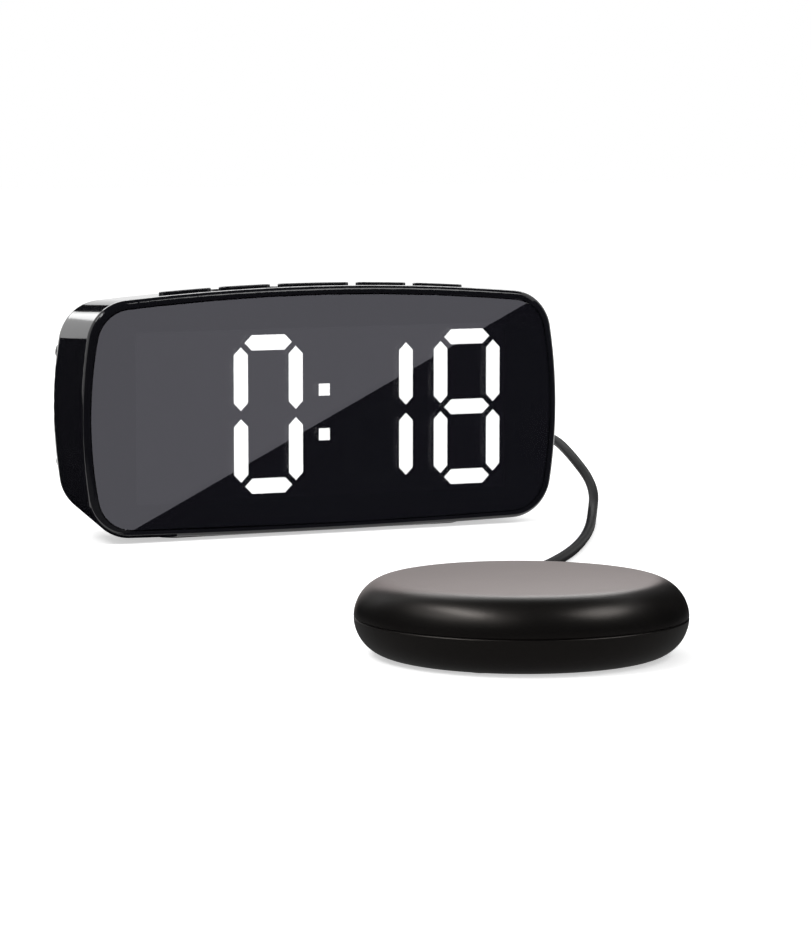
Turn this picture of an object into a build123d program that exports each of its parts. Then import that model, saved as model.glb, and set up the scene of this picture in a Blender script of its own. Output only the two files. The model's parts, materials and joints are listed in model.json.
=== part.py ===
from build123d import *
import math
import os

os.makedirs("parts", exist_ok=True)

# Bed shaker alarm clock: a bedside clock with large digits behind a smoked lens, and a puck with an
# eccentric motor on a cord. Millimetres, Z up, the front faces -Y, and the origin lies on the table
# under the middle of the clock.

# Clock casing
case_width = 163.0
case_height = 77.5
case_depth = 38.0
case_lift = 0.65
top_bow = 4.0
bottom_bow = 1.1
side_bow = 4.3
corner_radius = 14.0
side_narrowing = 2.2
bottom_rise = 5.5
top_drop = 1.9
wall = 2.2
front_round = 1.8
rear_round = 8.0
cover_depth = 10.0
lip_depth = 2.5
lip_wall = 1.2
lip_root = 2.0
lip_gap = 0.15

# Lens and its seat
rim_width = 2.6
lens_gap = 0.1
lens_recess = 0.25
lens_thickness = 2.0
bulkhead = 1.5

# Digits
digit_width = 23.4
digit_surround = 27.8
digit_stroke = 4.8
digit_pitch = 30.8
middle_pitch = 38.1
digit_drop = 1.1
segment_gap = 1.3
dot_size = 3.8
dot_spacing = 14.1
reflector_margin = 1.4
reflector_depth = 7.9
reflector_gap = 0.1
window_gap = 0.4
segment_depth = 6.0
led_size = 2.0
led_height = 0.8

# Boards
board_thickness = 1.6
board_overhang = 6.6
board_post_inset = 2.9
board_post_radius = 2.5
board_post_step = 5.7
chip_width = 14.0
chip_height = 10.0
chip_thickness = 1.6
chip_x = -30.0

# Buttons along the top
button_width = 16.8
snooze_width = 23.7
button_gap = 3.2
button_depth = 5.0
button_corner = 2.2
button_setback = 11.0
button_rise = 1.0
button_clearance = 0.3
flange_overlap = 1.2
flange_thickness = 1.0
stem_radius = 2.0

# Key board under the buttons
key_board_depth = 13.0
key_board_margin = 8.6
key_boss_radius = 2.5
key_boss_margin = 5.6
key_boss_back = 3.5
switch_size = 6.0
switch_height = 3.5
switch_bore_depth = 1.7
plunger_radius = 1.7
plunger_length = 1.8
plunger_proud = 0.9
plunger_fit = 0.08
stem_allowance = 0.8

# Rear fittings
fitting_drop = 1.4
speaker_inset = 35.5
speaker_radius = 15.0
speaker_depth = 8.0
speaker_rim = 1.2
basket_depth = 4.5
basket_radius = 13.5
basket_wall = 0.5
cone_radius = 12.0
cone_wall = 0.6
voice_coil_radius = 3.75
magnet_radius = 8.5
magnet_seat = 1.0
grille_radius = 12.5
grille_pitch = 3.6
grille_slot = 1.7
grille_rows = 7
door_x = -4.0
door_radius = 13.0
door_thickness = 1.0
door_gap = 0.3
skirt_radius = 11.2
skirt_wall = 1.1
lug_reach = 12.9
lug_width = 5.6
lug_thickness = 1.2
door_unlock_angle = 35.0
coin_slot_length = 15.0
coin_slot_width = 1.8
coin_slot_depth = 0.6
cup_radius = 13.2
cup_wall = 1.4
cell_radius = 10.0
cell_thickness = 3.2
cell_room = 1.0
contact_thickness = 0.3
contact_width = 4.0
spring_reach = 7.0
socket_z = 30.0
shaker_socket_x = 48.0
shaker_socket_size = 8.0
dc_socket_x = 24.0
dc_socket_width = 9.0
dc_socket_height = 11.0
socket_depth = 12.0
nose_length = 1.9
nose_gap = 0.2
shaker_nose_radius = 3.0
dc_nose_radius = 3.9
dc_bore_radius = 3.0
dc_pin_radius = 1.0
dc_pin_recess = 3.7
jack_board_margin = 2.0
jack_boss_radius = 3.0

# Screws
case_screw_inset = 8.3
case_screw_margin = 43.5
case_post_radius = 2.6
case_post_end = 3.0
case_boss_radius = 4.2
case_screw_seat = 8.5
case_screw_length = 14.0
case_screw_radius = 1.35
case_head_radius = 2.6
case_head_height = 2.0
board_screw_radius = 1.0
board_screw_length = 4.5
board_head_radius = 2.1
board_head_height = 1.4
pilot_gap = 0.05
hole_gap = 0.2

# Base pad
pad_width = 104.0
pad_depth = 23.0
pad_corner = 6.0
pad_back = 13.5

# Shaker puck
shaker_x = -57.2
shaker_y = -266.9
shaker_diameter = 83.0
shaker_half_height = 9.5
shaker_crown = 0.7
shell_wall = 2.0
seam_chamfer = 0.3
shell_lip = 1.4
shell_lip_wall = 1.0
shell_screw_circle = 30.0
shell_boss_radius = 3.2
shell_split_z = 8.0
shell_screw_seat = 4.0
shell_screw_radius = 1.2
shell_screw_length = 9.0
shell_head_radius = 2.3
shell_head_height = 1.8

# Motor in the shaker
motor_diameter = 15.0
motor_flat = 12.0
motor_length = 22.0
motor_start = -20.0
end_cap_length = 2.6
shaft_radius = 1.0
shaft_fit = 0.05
shaft_reach = 13.0
shaft_inside = 16.0
weight_radius = 6.8
weight_width = 9.0
weight_gap = 1.6
weight_hub = 2.6
clamp_width = 8.0
clamp_thickness = 0.9
clamp_ear = 7.0
clamp_slack = 0.1
clamp_x = -9.0
clamp_pillar_radius = 2.6
clamp_screw_radius = 1.0
clamp_screw_length = 5.0
clamp_head_radius = 2.0
clamp_head_height = 1.3
motor_pad_length = 4.0
motor_pad_places = (-17.0, -1.0)
clamp_ear_z = 8.0
lead_diameter = 1.3
lead_sides = 6
lead_spacing = 5.0
lead_exit_spacing = 1.69
lead_z = 6.8
lead_turns = (7.4, 3.9)
lead_lanes = (16.9, 15.2)

# Cord and its ends
cord_diameter = 3.2
cord_sides = 8
relief_length = 14.0
relief_base_radius = 3.0
relief_tip_radius = 2.2
relief_neck_radius = 2.6
relief_flange_radius = 4.0
relief_flange = 2.0
relief_fit = 0.1
plug_pin_radius = 1.75
plug_fit = 0.1
plug_pin_length = 13.0
plug_seat_gap = 0.3
grip_radius = 4.6
grip_length = 14.0
grip_sleeve_length = 10.7
grip_sleeve_radius = 3.3
grip_groove = 0.5
grip_groove_count = 3
coil_x = -28.0
coil_y = -188.0
coil_heading = 243.5
coil_radius = 26.0
coil_pitch = 3.7
coil_bottom = 0.6
table_z = 1.65
coil_half_turns = 8
coil_lead_in = 16.0
core_step = 1.5
tail_run = 10.0
bend_share = 0.45
tie_width = 6.0
tie_thickness = 0.4
tie_slack = 0.15

# Derived places in the clock
front_y = -case_depth / 2
back_y = case_depth / 2
seam_y = back_y - cover_depth
lens_back_y = front_y + lens_recess + lens_thickness
bulkhead_back_y = lens_back_y + bulkhead
cover_inner_y = back_y - wall
face_mid_z = case_lift + case_height / 2
digit_z = face_mid_z - digit_drop
digit_height = case_height - digit_surround
digit_x = [
    -middle_pitch / 2 - digit_pitch,
    -middle_pitch / 2,
    middle_pitch / 2,
    middle_pitch / 2 + digit_pitch,
]
reflector_width = 2 * digit_x[3] + digit_width + 2 * reflector_margin
reflector_height = digit_height + 2 * reflector_margin
reflector_front_y = lens_back_y + reflector_gap
board_front_y = reflector_front_y + reflector_depth
board_back_y = board_front_y + board_thickness
board_width = reflector_width + 2 * board_overhang
board_post_x = board_width / 2 - board_post_inset
board_post_spacing = digit_height - board_post_step
case_screw_x = case_width / 2 - case_screw_inset
case_screw_spacing = case_height - case_screw_margin
fitting_z = face_mid_z - fitting_drop
speaker_x = speaker_inset - case_width / 2
button_y = front_y + button_setback
case_mid_z = face_mid_z + (bottom_rise - top_drop) / 4


# Which side of a place a solid is built on
up_to = (Align.CENTER, Align.MAX, Align.CENTER)
back_from = (Align.CENTER, Align.MIN, Align.CENTER)
from_base = (Align.CENTER, Align.CENTER, Align.MIN)
on_top = (Align.CENTER, Align.CENTER, Align.MAX)


def at_depth(y):
    """The upright plane at depth y, with X to the right, Z up and its normal to the front."""
    return Plane.XZ.offset(-y)


def case_section(y, inset=0.0):
    """The casing's bowed outline at depth y, drawn in by the inset."""
    share = (y - front_y) / case_depth
    half = case_width / 2 - side_narrowing * share - inset
    low = case_lift + bottom_rise * share + inset
    high = case_lift + case_height - top_drop * share - inset
    corner_x = half - side_bow
    low_corner = low + bottom_bow
    high_corner = high - top_bow
    middle = (low + high) / 2
    with BuildSketch(at_depth(y)) as section:
        with BuildLine():
            ThreePointArc((-corner_x, low_corner), (0, low), (corner_x, low_corner))
            ThreePointArc((corner_x, low_corner), (half, middle), (corner_x, high_corner))
            ThreePointArc((corner_x, high_corner), (0, high), (-corner_x, high_corner))
            ThreePointArc((-corner_x, high_corner), (-half, middle), (-corner_x, low_corner))
        make_face()
        fillet(section.vertices(), corner_radius - inset)
    return section.sketch


def case_loft(y_start, y_end, inset, mode=Mode.ADD):
    """A solid that fills the casing's outline, drawn in by the inset, from one depth to another."""
    sections = [case_section(y_start, inset), case_section(y_end, inset)]
    return loft(sections=sections, ruled=True, mode=mode)


def roof_z(x, y):
    """Height of the casing's top at a place, from the bow and the fall towards the back."""
    share = (y - front_y) / case_depth
    corner_x = case_width / 2 - side_narrowing * share - side_bow
    return case_lift + case_height - top_drop * share - top_bow * (x / corner_x) ** 2


def save(piece, name):
    """Labels a finished piece and writes its file."""
    piece.part.label = name
    export_step(piece.part, f"parts/{name}.step")


# Outer form and inside of the casing, shared by the front case and the rear cover
with BuildPart() as case_body:
    case_loft(front_y, back_y, 0.0)
    fillet(case_body.edges().group_by(Axis.Y)[-1], rear_round)
    fillet(case_body.edges().group_by(Axis.Y)[0], front_round)

with BuildPart() as case_cavity:
    case_loft(bulkhead_back_y, cover_inner_y, wall)
    fillet(case_cavity.edges().group_by(Axis.Y)[-1], rear_round - wall)

# Buttons: name, middle and width, from left to right
button_step = (snooze_width + button_width) / 2 + button_gap
button_outer = button_step + button_width + button_gap
buttons = [
    ("time", -button_outer, button_width),
    ("alarm", -button_step, button_width),
    ("snooze", 0.0, snooze_width),
    ("down", button_step, button_width),
    ("up", button_outer, button_width),
]
row_half = button_outer + button_width / 2
flange_back_y = button_y + button_depth / 2 + flange_overlap
flange_drop = wall + button_clearance + flange_thickness
plunger_top = roof_z(row_half + flange_overlap, flange_back_y) - flange_drop - stem_allowance
switch_top = plunger_top - plunger_proud
key_board_top = switch_top - switch_height
key_board_bottom = key_board_top - board_thickness
key_board_length = 2 * (row_half + key_board_margin)
key_boss_x = row_half + key_boss_margin
key_boss_y = button_y + key_boss_back

# The bosses that the key board hangs from
with BuildPart() as key_bosses:
    with BuildSketch(Plane.XY.offset(key_board_top)):
        with Locations((-key_boss_x, key_boss_y), (key_boss_x, key_boss_y)):
            Circle(key_boss_radius)
    extrude(amount=case_height)
    add(case_body.part, mode=Mode.INTERSECT)

board_screw_places = [
    (side * board_post_x, digit_z + level * board_post_spacing / 2)
    for side in (-1, 1)
    for level in (-1, 1)
]
case_screw_places = [
    (side * case_screw_x, case_mid_z + level * case_screw_spacing / 2)
    for side in (-1, 1)
    for level in (-1, 1)
]

# Front case with its rim, bulkhead, posts and button holes
with BuildPart() as front_case:
    add(case_body.part)
    add(case_cavity.part, mode=Mode.SUBTRACT)
    with Locations((0, seam_y, face_mid_z)):
        Box(2 * case_width, 2 * case_depth, 2 * case_height, align=up_to, mode=Mode.INTERSECT)
    extrude(case_section(front_y, rim_width - lens_gap), amount=front_y - lens_back_y, mode=Mode.SUBTRACT)
    with BuildSketch(at_depth(lens_back_y)):
        with Locations((0, digit_z)):
            Rectangle(reflector_width + 2 * window_gap, reflector_height + 2 * window_gap)
    extrude(amount=-bulkhead, mode=Mode.SUBTRACT)
    with BuildSketch(at_depth(board_front_y)):
        with Locations(*board_screw_places):
            Circle(board_post_radius)
    extrude(amount=board_front_y - bulkhead_back_y)
    with BuildSketch(at_depth(board_front_y)):
        with Locations(*board_screw_places):
            Circle(board_screw_radius + pilot_gap)
    extrude(amount=board_screw_length, mode=Mode.SUBTRACT)
    with BuildSketch(at_depth(case_post_end)):
        with Locations(*case_screw_places):
            Circle(case_post_radius)
    extrude(amount=case_post_end - bulkhead_back_y)
    with BuildSketch(at_depth(case_post_end)):
        with Locations(*case_screw_places):
            Circle(case_screw_radius + pilot_gap)
    extrude(amount=case_screw_length, mode=Mode.SUBTRACT)
    add(key_bosses.part)
    with BuildSketch(Plane.XY.offset(key_board_top)):
        with Locations((-key_boss_x, key_boss_y), (key_boss_x, key_boss_y)):
            Circle(board_screw_radius + pilot_gap)
    extrude(amount=board_screw_length, mode=Mode.SUBTRACT)
    with BuildSketch(Plane.XY.offset(plunger_top)):
        for button_name, middle_x, width in buttons:
            with Locations((middle_x, button_y)):
                RectangleRounded(
                    width + 2 * button_clearance,
                    button_depth + 2 * button_clearance,
                    button_corner + button_clearance,
                )
    extrude(amount=case_height, mode=Mode.SUBTRACT)
save(front_case, "front_case")

# Smoked lens
with BuildPart() as front_lens:
    extrude(case_section(front_y + lens_recess, rim_width), amount=-lens_thickness)
save(front_lens, "front_lens")

# Seven-segment digits: the segments' middles and directions, and which of them are lit for 0:18
half_run = (digit_width - digit_stroke) / 2
half_rise = (digit_height - digit_stroke) / 2
segment_places = {
    "top": (0.0, half_rise, True),
    "middle": (0.0, 0.0, True),
    "bottom": (0.0, -half_rise, True),
    "upper_left": (-half_run, half_rise / 2, False),
    "upper_right": (half_run, half_rise / 2, False),
    "lower_left": (-half_run, -half_rise / 2, False),
    "lower_right": (half_run, -half_rise / 2, False),
}
lit_names = [
    [],
    ["top", "bottom", "upper_left", "upper_right", "lower_left", "lower_right"],
    ["upper_right", "lower_right"],
    list(segment_places),
]


def segment(centre_x, centre_z, lies_flat):
    """One pointed segment, lying flat or upright, drawn in the current sketch."""
    reach = (half_run if lies_flat else half_rise / 2) - segment_gap
    shoulder = reach - digit_stroke / 2
    corners = [
        (reach, 0),
        (shoulder, digit_stroke / 2),
        (-shoulder, digit_stroke / 2),
        (-reach, 0),
        (-shoulder, -digit_stroke / 2),
        (shoulder, -digit_stroke / 2),
    ]
    with Locations(Location((centre_x, centre_z, 0), (0, 0, 0 if lies_flat else 90))):
        Polygon(*corners, align=None)


def segments_sketch(lit):
    """All the segments that are lit, with the colon's dots, or all those that are dark."""
    with BuildSketch(at_depth(reflector_front_y)) as sketch:
        for place, names in zip(digit_x, lit_names):
            for segment_name, (offset_x, offset_z, lies_flat) in segment_places.items():
                if (segment_name in names) == lit:
                    segment(place + offset_x, digit_z + offset_z, lies_flat)
        if lit:
            with Locations((0, digit_z + dot_spacing / 2), (0, digit_z - dot_spacing / 2)):
                Rectangle(dot_size, dot_size)
    return sketch.sketch


lit_sketch = segments_sketch(True)
dark_sketch = segments_sketch(False)

with BuildPart() as lit_segments:
    extrude(lit_sketch, amount=-segment_depth)
save(lit_segments, "lit_segments")

with BuildPart() as dark_segments:
    extrude(dark_sketch, amount=-segment_depth)
save(dark_segments, "dark_segments")

# Black reflector block whose wells the segments fill
with BuildPart() as digit_reflector:
    with BuildSketch(at_depth(reflector_front_y)):
        with Locations((0, digit_z)):
            Rectangle(reflector_width, reflector_height)
    extrude(amount=-reflector_depth)
    extrude(lit_sketch, amount=-reflector_depth, mode=Mode.SUBTRACT)
    extrude(dark_sketch, amount=-reflector_depth, mode=Mode.SUBTRACT)
save(digit_reflector, "digit_reflector")

# Main board, screwed to the front case's posts, with a light under each segment
with BuildPart() as main_board:
    with BuildSketch(at_depth(board_front_y)):
        with Locations((0, digit_z)):
            RectangleRounded(board_width, reflector_height, board_post_radius)
        with Locations(*board_screw_places):
            Circle(board_screw_radius + hole_gap, mode=Mode.SUBTRACT)
    extrude(amount=-board_thickness)
save(main_board, "main_board")

with BuildPart() as digit_leds:
    with BuildSketch(at_depth(board_front_y)):
        for place in digit_x:
            for offset_x, offset_z, lies_flat in segment_places.values():
                with Locations((place + offset_x, digit_z + offset_z)):
                    Rectangle(led_size, led_size)
        with Locations((0, digit_z + dot_spacing / 2), (0, digit_z - dot_spacing / 2)):
            Rectangle(led_size, led_size)
    extrude(amount=led_height)
save(digit_leds, "digit_leds")

with BuildPart() as controller_chip:
    with BuildSketch(at_depth(board_back_y)):
        with Locations((chip_x, digit_z)):
            Rectangle(chip_width, chip_height)
    extrude(amount=-chip_thickness)
    chamfer(controller_chip.edges().group_by(Axis.Y)[-1], chip_thickness / 4)
save(controller_chip, "controller_chip")

# Key board with a switch under each button
with BuildPart() as key_board:
    with BuildSketch(Plane.XY.offset(key_board_bottom)):
        with Locations((0, button_y)):
            RectangleRounded(key_board_length, key_board_depth, board_post_radius)
        with Locations((-key_boss_x, key_boss_y), (key_boss_x, key_boss_y)):
            Circle(board_screw_radius + hole_gap, mode=Mode.SUBTRACT)
    extrude(amount=board_thickness)
save(key_board, "key_board")

with BuildPart() as switch_bodies:
    with BuildSketch(Plane.XY.offset(key_board_top)):
        for button_name, middle_x, width in buttons:
            with Locations((middle_x, button_y)):
                Rectangle(switch_size, switch_size)
    extrude(amount=switch_height)
    with BuildSketch(Plane.XY.offset(switch_top)):
        for button_name, middle_x, width in buttons:
            with Locations((middle_x, button_y)):
                Circle(plunger_radius + plunger_fit)
    extrude(amount=-switch_bore_depth, mode=Mode.SUBTRACT)
save(switch_bodies, "switch_bodies")


def column(middle_x, width, depth, corner, bottom, skin_inset):
    """An upright column on a rounded rectangle, whose top follows the casing's roof at the inset."""
    with BuildPart() as shaft:
        with BuildSketch(Plane.XY.offset(bottom)):
            with Locations((middle_x, button_y)):
                RectangleRounded(width, depth, corner)
        extrude(amount=case_height)
        case_loft(front_y, back_y, skin_inset, mode=Mode.INTERSECT)
    return shaft.part


# Buttons, each with a cap that follows the roof, a flange under the wall and a stem on its plunger
for button_name, middle_x, width in buttons:
    flange_edge = abs(middle_x) + width / 2 + flange_overlap
    flange_bottom = roof_z(flange_edge, flange_back_y) - flange_drop
    cap = column(middle_x, width, button_depth, button_corner, flange_bottom, -button_rise)
    flange = column(
        middle_x,
        width + 2 * flange_overlap,
        button_depth + 2 * flange_overlap,
        button_corner + flange_overlap,
        flange_bottom,
        wall + button_clearance,
    )
    with BuildPart() as button:
        add(cap)
        fillet(button.faces().sort_by(Axis.Z)[-1].edges(), button_rise / 3)
        add(flange)
        with BuildSketch(Plane.XY.offset(plunger_top)):
            with Locations((middle_x, button_y)):
                Circle(stem_radius)
        extrude(amount=flange_bottom - plunger_top)
    save(button, f"{button_name}_button")
    with BuildPart() as plunger:
        with BuildSketch(Plane.XY.offset(plunger_top)):
            with Locations((middle_x, button_y)):
                Circle(plunger_radius)
        extrude(amount=-plunger_length)
    save(plunger, f"{button_name}_plunger")

# Rear cover: the rounded back of the casing with a lip that locates it in the front case
with BuildPart() as cover_lip:
    case_loft(seam_y - lip_depth, seam_y, wall + lip_gap)
    case_loft(seam_y, seam_y + lip_root, wall / 2)
    case_loft(seam_y - lip_depth, seam_y + lip_root, wall + lip_gap + lip_wall, mode=Mode.SUBTRACT)

door_recess = door_thickness + door_gap
skirt_end_y = cover_inner_y - door_gap - lug_thickness
cell_top_y = skirt_end_y - cell_room
cup_floor_y = cell_top_y - cell_thickness - cell_room
jack_board_back_y = cover_inner_y - socket_depth
jack_boss_x = (shaker_socket_x - shaker_socket_size / 2 + dc_socket_x + dc_socket_width / 2) / 2
case_screw_seat_y = back_y - case_screw_seat
opening_radius = skirt_radius + door_gap

with BuildPart() as rear_cover:
    add(case_body.part)
    add(case_cavity.part, mode=Mode.SUBTRACT)
    with Locations((0, seam_y, face_mid_z)):
        Box(2 * case_width, 2 * case_depth, 2 * case_height, align=back_from, mode=Mode.INTERSECT)
    add(cover_lip.part)
    with BuildSketch(at_depth(cover_inner_y)):
        with Locations(*case_screw_places):
            Circle(case_boss_radius)
    extrude(amount=cover_inner_y - seam_y)
    with BuildSketch(at_depth(seam_y)):
        with Locations(*case_screw_places):
            Circle(case_post_radius)
    extrude(amount=seam_y - case_post_end)
    with BuildSketch(at_depth(back_y)):
        with Locations(*case_screw_places):
            Circle(case_head_radius + hole_gap)
    extrude(amount=case_screw_seat, mode=Mode.SUBTRACT)
    with BuildSketch(at_depth(back_y)):
        with Locations(*case_screw_places):
            Circle(case_screw_radius + hole_gap)
    extrude(amount=back_y - case_post_end, mode=Mode.SUBTRACT)
    with BuildSketch(at_depth(cover_inner_y)):
        with Locations((speaker_x, fitting_z)):
            Circle(speaker_radius + hole_gap + cup_wall)
            Circle(speaker_radius + hole_gap, mode=Mode.SUBTRACT)
    extrude(amount=speaker_depth / 2)
    with BuildSketch(at_depth(back_y)):
        for row in range(grille_rows):
            height = (row - (grille_rows - 1) / 2) * grille_pitch
            with Locations((speaker_x, fitting_z + height)):
                SlotOverall(2 * math.sqrt(grille_radius**2 - height**2), grille_slot)
    extrude(amount=wall, mode=Mode.SUBTRACT)
    with BuildSketch(at_depth(cover_inner_y)):
        with Locations((door_x, fitting_z)):
            Circle(cup_radius + cup_wall)
    extrude(amount=cover_inner_y - cup_floor_y + cup_wall)
    with BuildSketch(at_depth(cover_inner_y)):
        with Locations((door_x, fitting_z)):
            Circle(cup_radius)
    extrude(amount=cover_inner_y - cup_floor_y, mode=Mode.SUBTRACT)
    with BuildSketch(at_depth(back_y)):
        with Locations((door_x, fitting_z)):
            Circle(door_radius + door_gap)
    extrude(amount=door_recess, mode=Mode.SUBTRACT)
    with BuildSketch(at_depth(back_y)):
        with Locations((door_x, fitting_z)):
            Circle(opening_radius)
        with Locations(Location((door_x, fitting_z, 0), (0, 0, door_unlock_angle))):
            Rectangle(2 * (lug_reach + door_gap / 2), lug_width + 2 * door_gap)
    extrude(amount=wall, mode=Mode.SUBTRACT)
    with BuildSketch(at_depth(cover_inner_y)):
        with Locations((jack_boss_x, socket_z)):
            Circle(jack_boss_radius)
    extrude(amount=socket_depth)
    with BuildSketch(at_depth(jack_board_back_y)):
        with Locations((jack_boss_x, socket_z)):
            Circle(board_screw_radius + pilot_gap)
    extrude(amount=-board_screw_length, mode=Mode.SUBTRACT)
    with BuildSketch(at_depth(back_y)):
        with Locations((shaker_socket_x, socket_z)):
            Circle(shaker_nose_radius + nose_gap)
        with Locations((dc_socket_x, socket_z)):
            Circle(dc_nose_radius + nose_gap)
    extrude(amount=wall, mode=Mode.SUBTRACT)
save(rear_cover, "rear_cover")

# Coin cell door with its bayonet lugs and coin slot
with BuildPart() as battery_door:
    with BuildSketch(at_depth(back_y)):
        with Locations((door_x, fitting_z)):
            Circle(door_radius)
    extrude(amount=door_thickness)
    with BuildSketch(at_depth(skirt_end_y)):
        with Locations((door_x, fitting_z)):
            Circle(skirt_radius)
            Circle(skirt_radius - skirt_wall, mode=Mode.SUBTRACT)
            Circle(skirt_radius / 3)
    extrude(amount=skirt_end_y - back_y + door_thickness)
    with BuildSketch(at_depth(skirt_end_y)):
        with Locations((door_x, fitting_z)):
            Rectangle(2 * lug_reach, lug_width)
            Circle(skirt_radius - skirt_wall, mode=Mode.SUBTRACT)
    extrude(amount=-lug_thickness)
    with BuildSketch(at_depth(back_y)):
        with Locations((door_x, fitting_z)):
            SlotOverall(coin_slot_length, coin_slot_width, rotation=90)
    extrude(amount=coin_slot_depth, mode=Mode.SUBTRACT)
save(battery_door, "battery_door")

with BuildPart() as coin_cell:
    with BuildSketch(at_depth(cell_top_y)):
        with Locations((door_x, fitting_z)):
            Circle(cell_radius)
    extrude(amount=cell_thickness)
    fillet(coin_cell.edges().group_by(Axis.Y)[-1], cell_thickness / 8)
save(coin_cell, "coin_cell")

# Contacts of the cell: an arched leaf under it and a clip at its side
with BuildPart() as cell_spring_contact:
    with BuildSketch(Plane.XY.offset(fitting_z - contact_width / 2)):
        with BuildLine():
            arch_top = cup_floor_y + cell_room
            foot = spring_reach - contact_thickness
            ThreePointArc(
                (door_x - spring_reach, cup_floor_y),
                (door_x, arch_top),
                (door_x + spring_reach, cup_floor_y),
            )
            Line((door_x + spring_reach, cup_floor_y), (door_x + foot, cup_floor_y))
            ThreePointArc(
                (door_x + foot, cup_floor_y),
                (door_x, arch_top - contact_thickness),
                (door_x - foot, cup_floor_y),
            )
            Line((door_x - foot, cup_floor_y), (door_x - spring_reach, cup_floor_y))
        make_face()
    extrude(amount=contact_width)
save(cell_spring_contact, "cell_spring_contact")

with BuildPart() as cell_side_contact:
    clip_inner = door_x + cell_radius + contact_thickness / 2
    with BuildSketch(Plane.XY.offset(fitting_z - contact_width / 2)):
        with BuildLine():
            Polyline(
                (clip_inner, cell_top_y),
                (clip_inner, cup_floor_y),
                (clip_inner + 2 * cell_room, cup_floor_y),
                (clip_inner + 2 * cell_room, cup_floor_y + contact_thickness),
                (clip_inner + contact_thickness, cup_floor_y + contact_thickness),
                (clip_inner + contact_thickness, cell_top_y),
                close=True,
            )
        make_face()
    extrude(amount=contact_width)
save(cell_side_contact, "cell_side_contact")

# Speaker behind the grille, seated in the cover's ring
speaker_plane = Plane((speaker_x, cover_inner_y, fitting_z), x_dir=(1, 0, 0), z_dir=(0, -1, 0))

with BuildPart(speaker_plane) as speaker_frame:
    Cylinder(speaker_radius, speaker_rim, align=from_base)
    with Locations((0, 0, speaker_rim)):
        Cone(basket_radius, magnet_radius, basket_depth - speaker_rim, align=from_base)
    Cone(
        basket_radius - basket_wall,
        magnet_radius - magnet_seat,
        basket_depth,
        align=from_base,
        mode=Mode.SUBTRACT,
    )
save(speaker_frame, "speaker_frame")

with BuildPart(speaker_plane) as speaker_cone:
    with Locations((0, 0, speaker_rim / 2)):
        Cone(cone_radius, voice_coil_radius, basket_depth - speaker_rim / 2, align=from_base)
        Cone(
            cone_radius - cone_wall,
            voice_coil_radius - cone_wall,
            basket_depth - speaker_rim / 2 - cone_wall,
            align=from_base,
            mode=Mode.SUBTRACT,
        )
save(speaker_cone, "speaker_cone")

with BuildPart(speaker_plane) as speaker_magnet:
    with Locations((0, 0, basket_depth)):
        Cylinder(magnet_radius, speaker_depth - basket_depth, align=from_base)
save(speaker_magnet, "speaker_magnet")

# Jack board with the power inlet and the shaker's socket
jack_left = dc_socket_x - dc_socket_width / 2 - jack_board_margin
jack_right = shaker_socket_x + shaker_socket_size / 2 + jack_board_margin
jack_board_front_y = jack_board_back_y - board_thickness
nose_end_y = cover_inner_y + nose_length
dc_bore_end_y = jack_board_back_y + 2 * dc_pin_radius
pin_start_y = back_y + plug_seat_gap
pin_end_y = pin_start_y - plug_pin_length

with BuildPart() as jack_board:
    with BuildSketch(at_depth(jack_board_back_y)):
        with Locations(((jack_left + jack_right) / 2, socket_z)):
            Rectangle(jack_right - jack_left, dc_socket_height + 2 * jack_board_margin)
        with Locations((jack_boss_x, socket_z)):
            Circle(board_screw_radius + hole_gap, mode=Mode.SUBTRACT)
    extrude(amount=board_thickness)
save(jack_board, "jack_board")

with BuildPart() as dc_socket:
    with BuildSketch(at_depth(jack_board_back_y)):
        with Locations((dc_socket_x, socket_z)):
            Rectangle(dc_socket_width, dc_socket_height)
    extrude(amount=-socket_depth)
    with BuildSketch(at_depth(cover_inner_y)):
        with Locations((dc_socket_x, socket_z)):
            Circle(dc_nose_radius)
    extrude(amount=-nose_length)
    with BuildSketch(at_depth(nose_end_y)):
        with Locations((dc_socket_x, socket_z)):
            Circle(dc_bore_radius)
    extrude(amount=nose_end_y - dc_bore_end_y, mode=Mode.SUBTRACT)
    with BuildSketch(at_depth(dc_bore_end_y)):
        with Locations((dc_socket_x, socket_z)):
            Circle(dc_pin_radius)
    extrude(amount=dc_bore_end_y - nose_end_y + dc_pin_recess)
save(dc_socket, "dc_socket")

with BuildPart() as shaker_socket:
    with BuildSketch(at_depth(jack_board_back_y)):
        with Locations((shaker_socket_x, socket_z)):
            Rectangle(shaker_socket_size, shaker_socket_size)
    extrude(amount=-socket_depth)
    with BuildSketch(at_depth(cover_inner_y)):
        with Locations((shaker_socket_x, socket_z)):
            Circle(shaker_nose_radius)
    extrude(amount=-nose_length)
    with BuildSketch(at_depth(nose_end_y)):
        with Locations((shaker_socket_x, socket_z)):
            Circle(plug_pin_radius + plug_fit)
    extrude(amount=nose_end_y - pin_end_y + plug_seat_gap, mode=Mode.SUBTRACT)
save(shaker_socket, "shaker_socket")


def screw(seat, radius, length, head_radius, head_height):
    """Adds a screw whose head stands on the seat plane and whose shank goes down from it."""
    with BuildSketch(seat) as head:
        Circle(head_radius)
    extrude(head.sketch, amount=head_height)
    with BuildSketch(seat) as shank:
        Circle(radius)
    extrude(shank.sketch, amount=-length)


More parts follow.
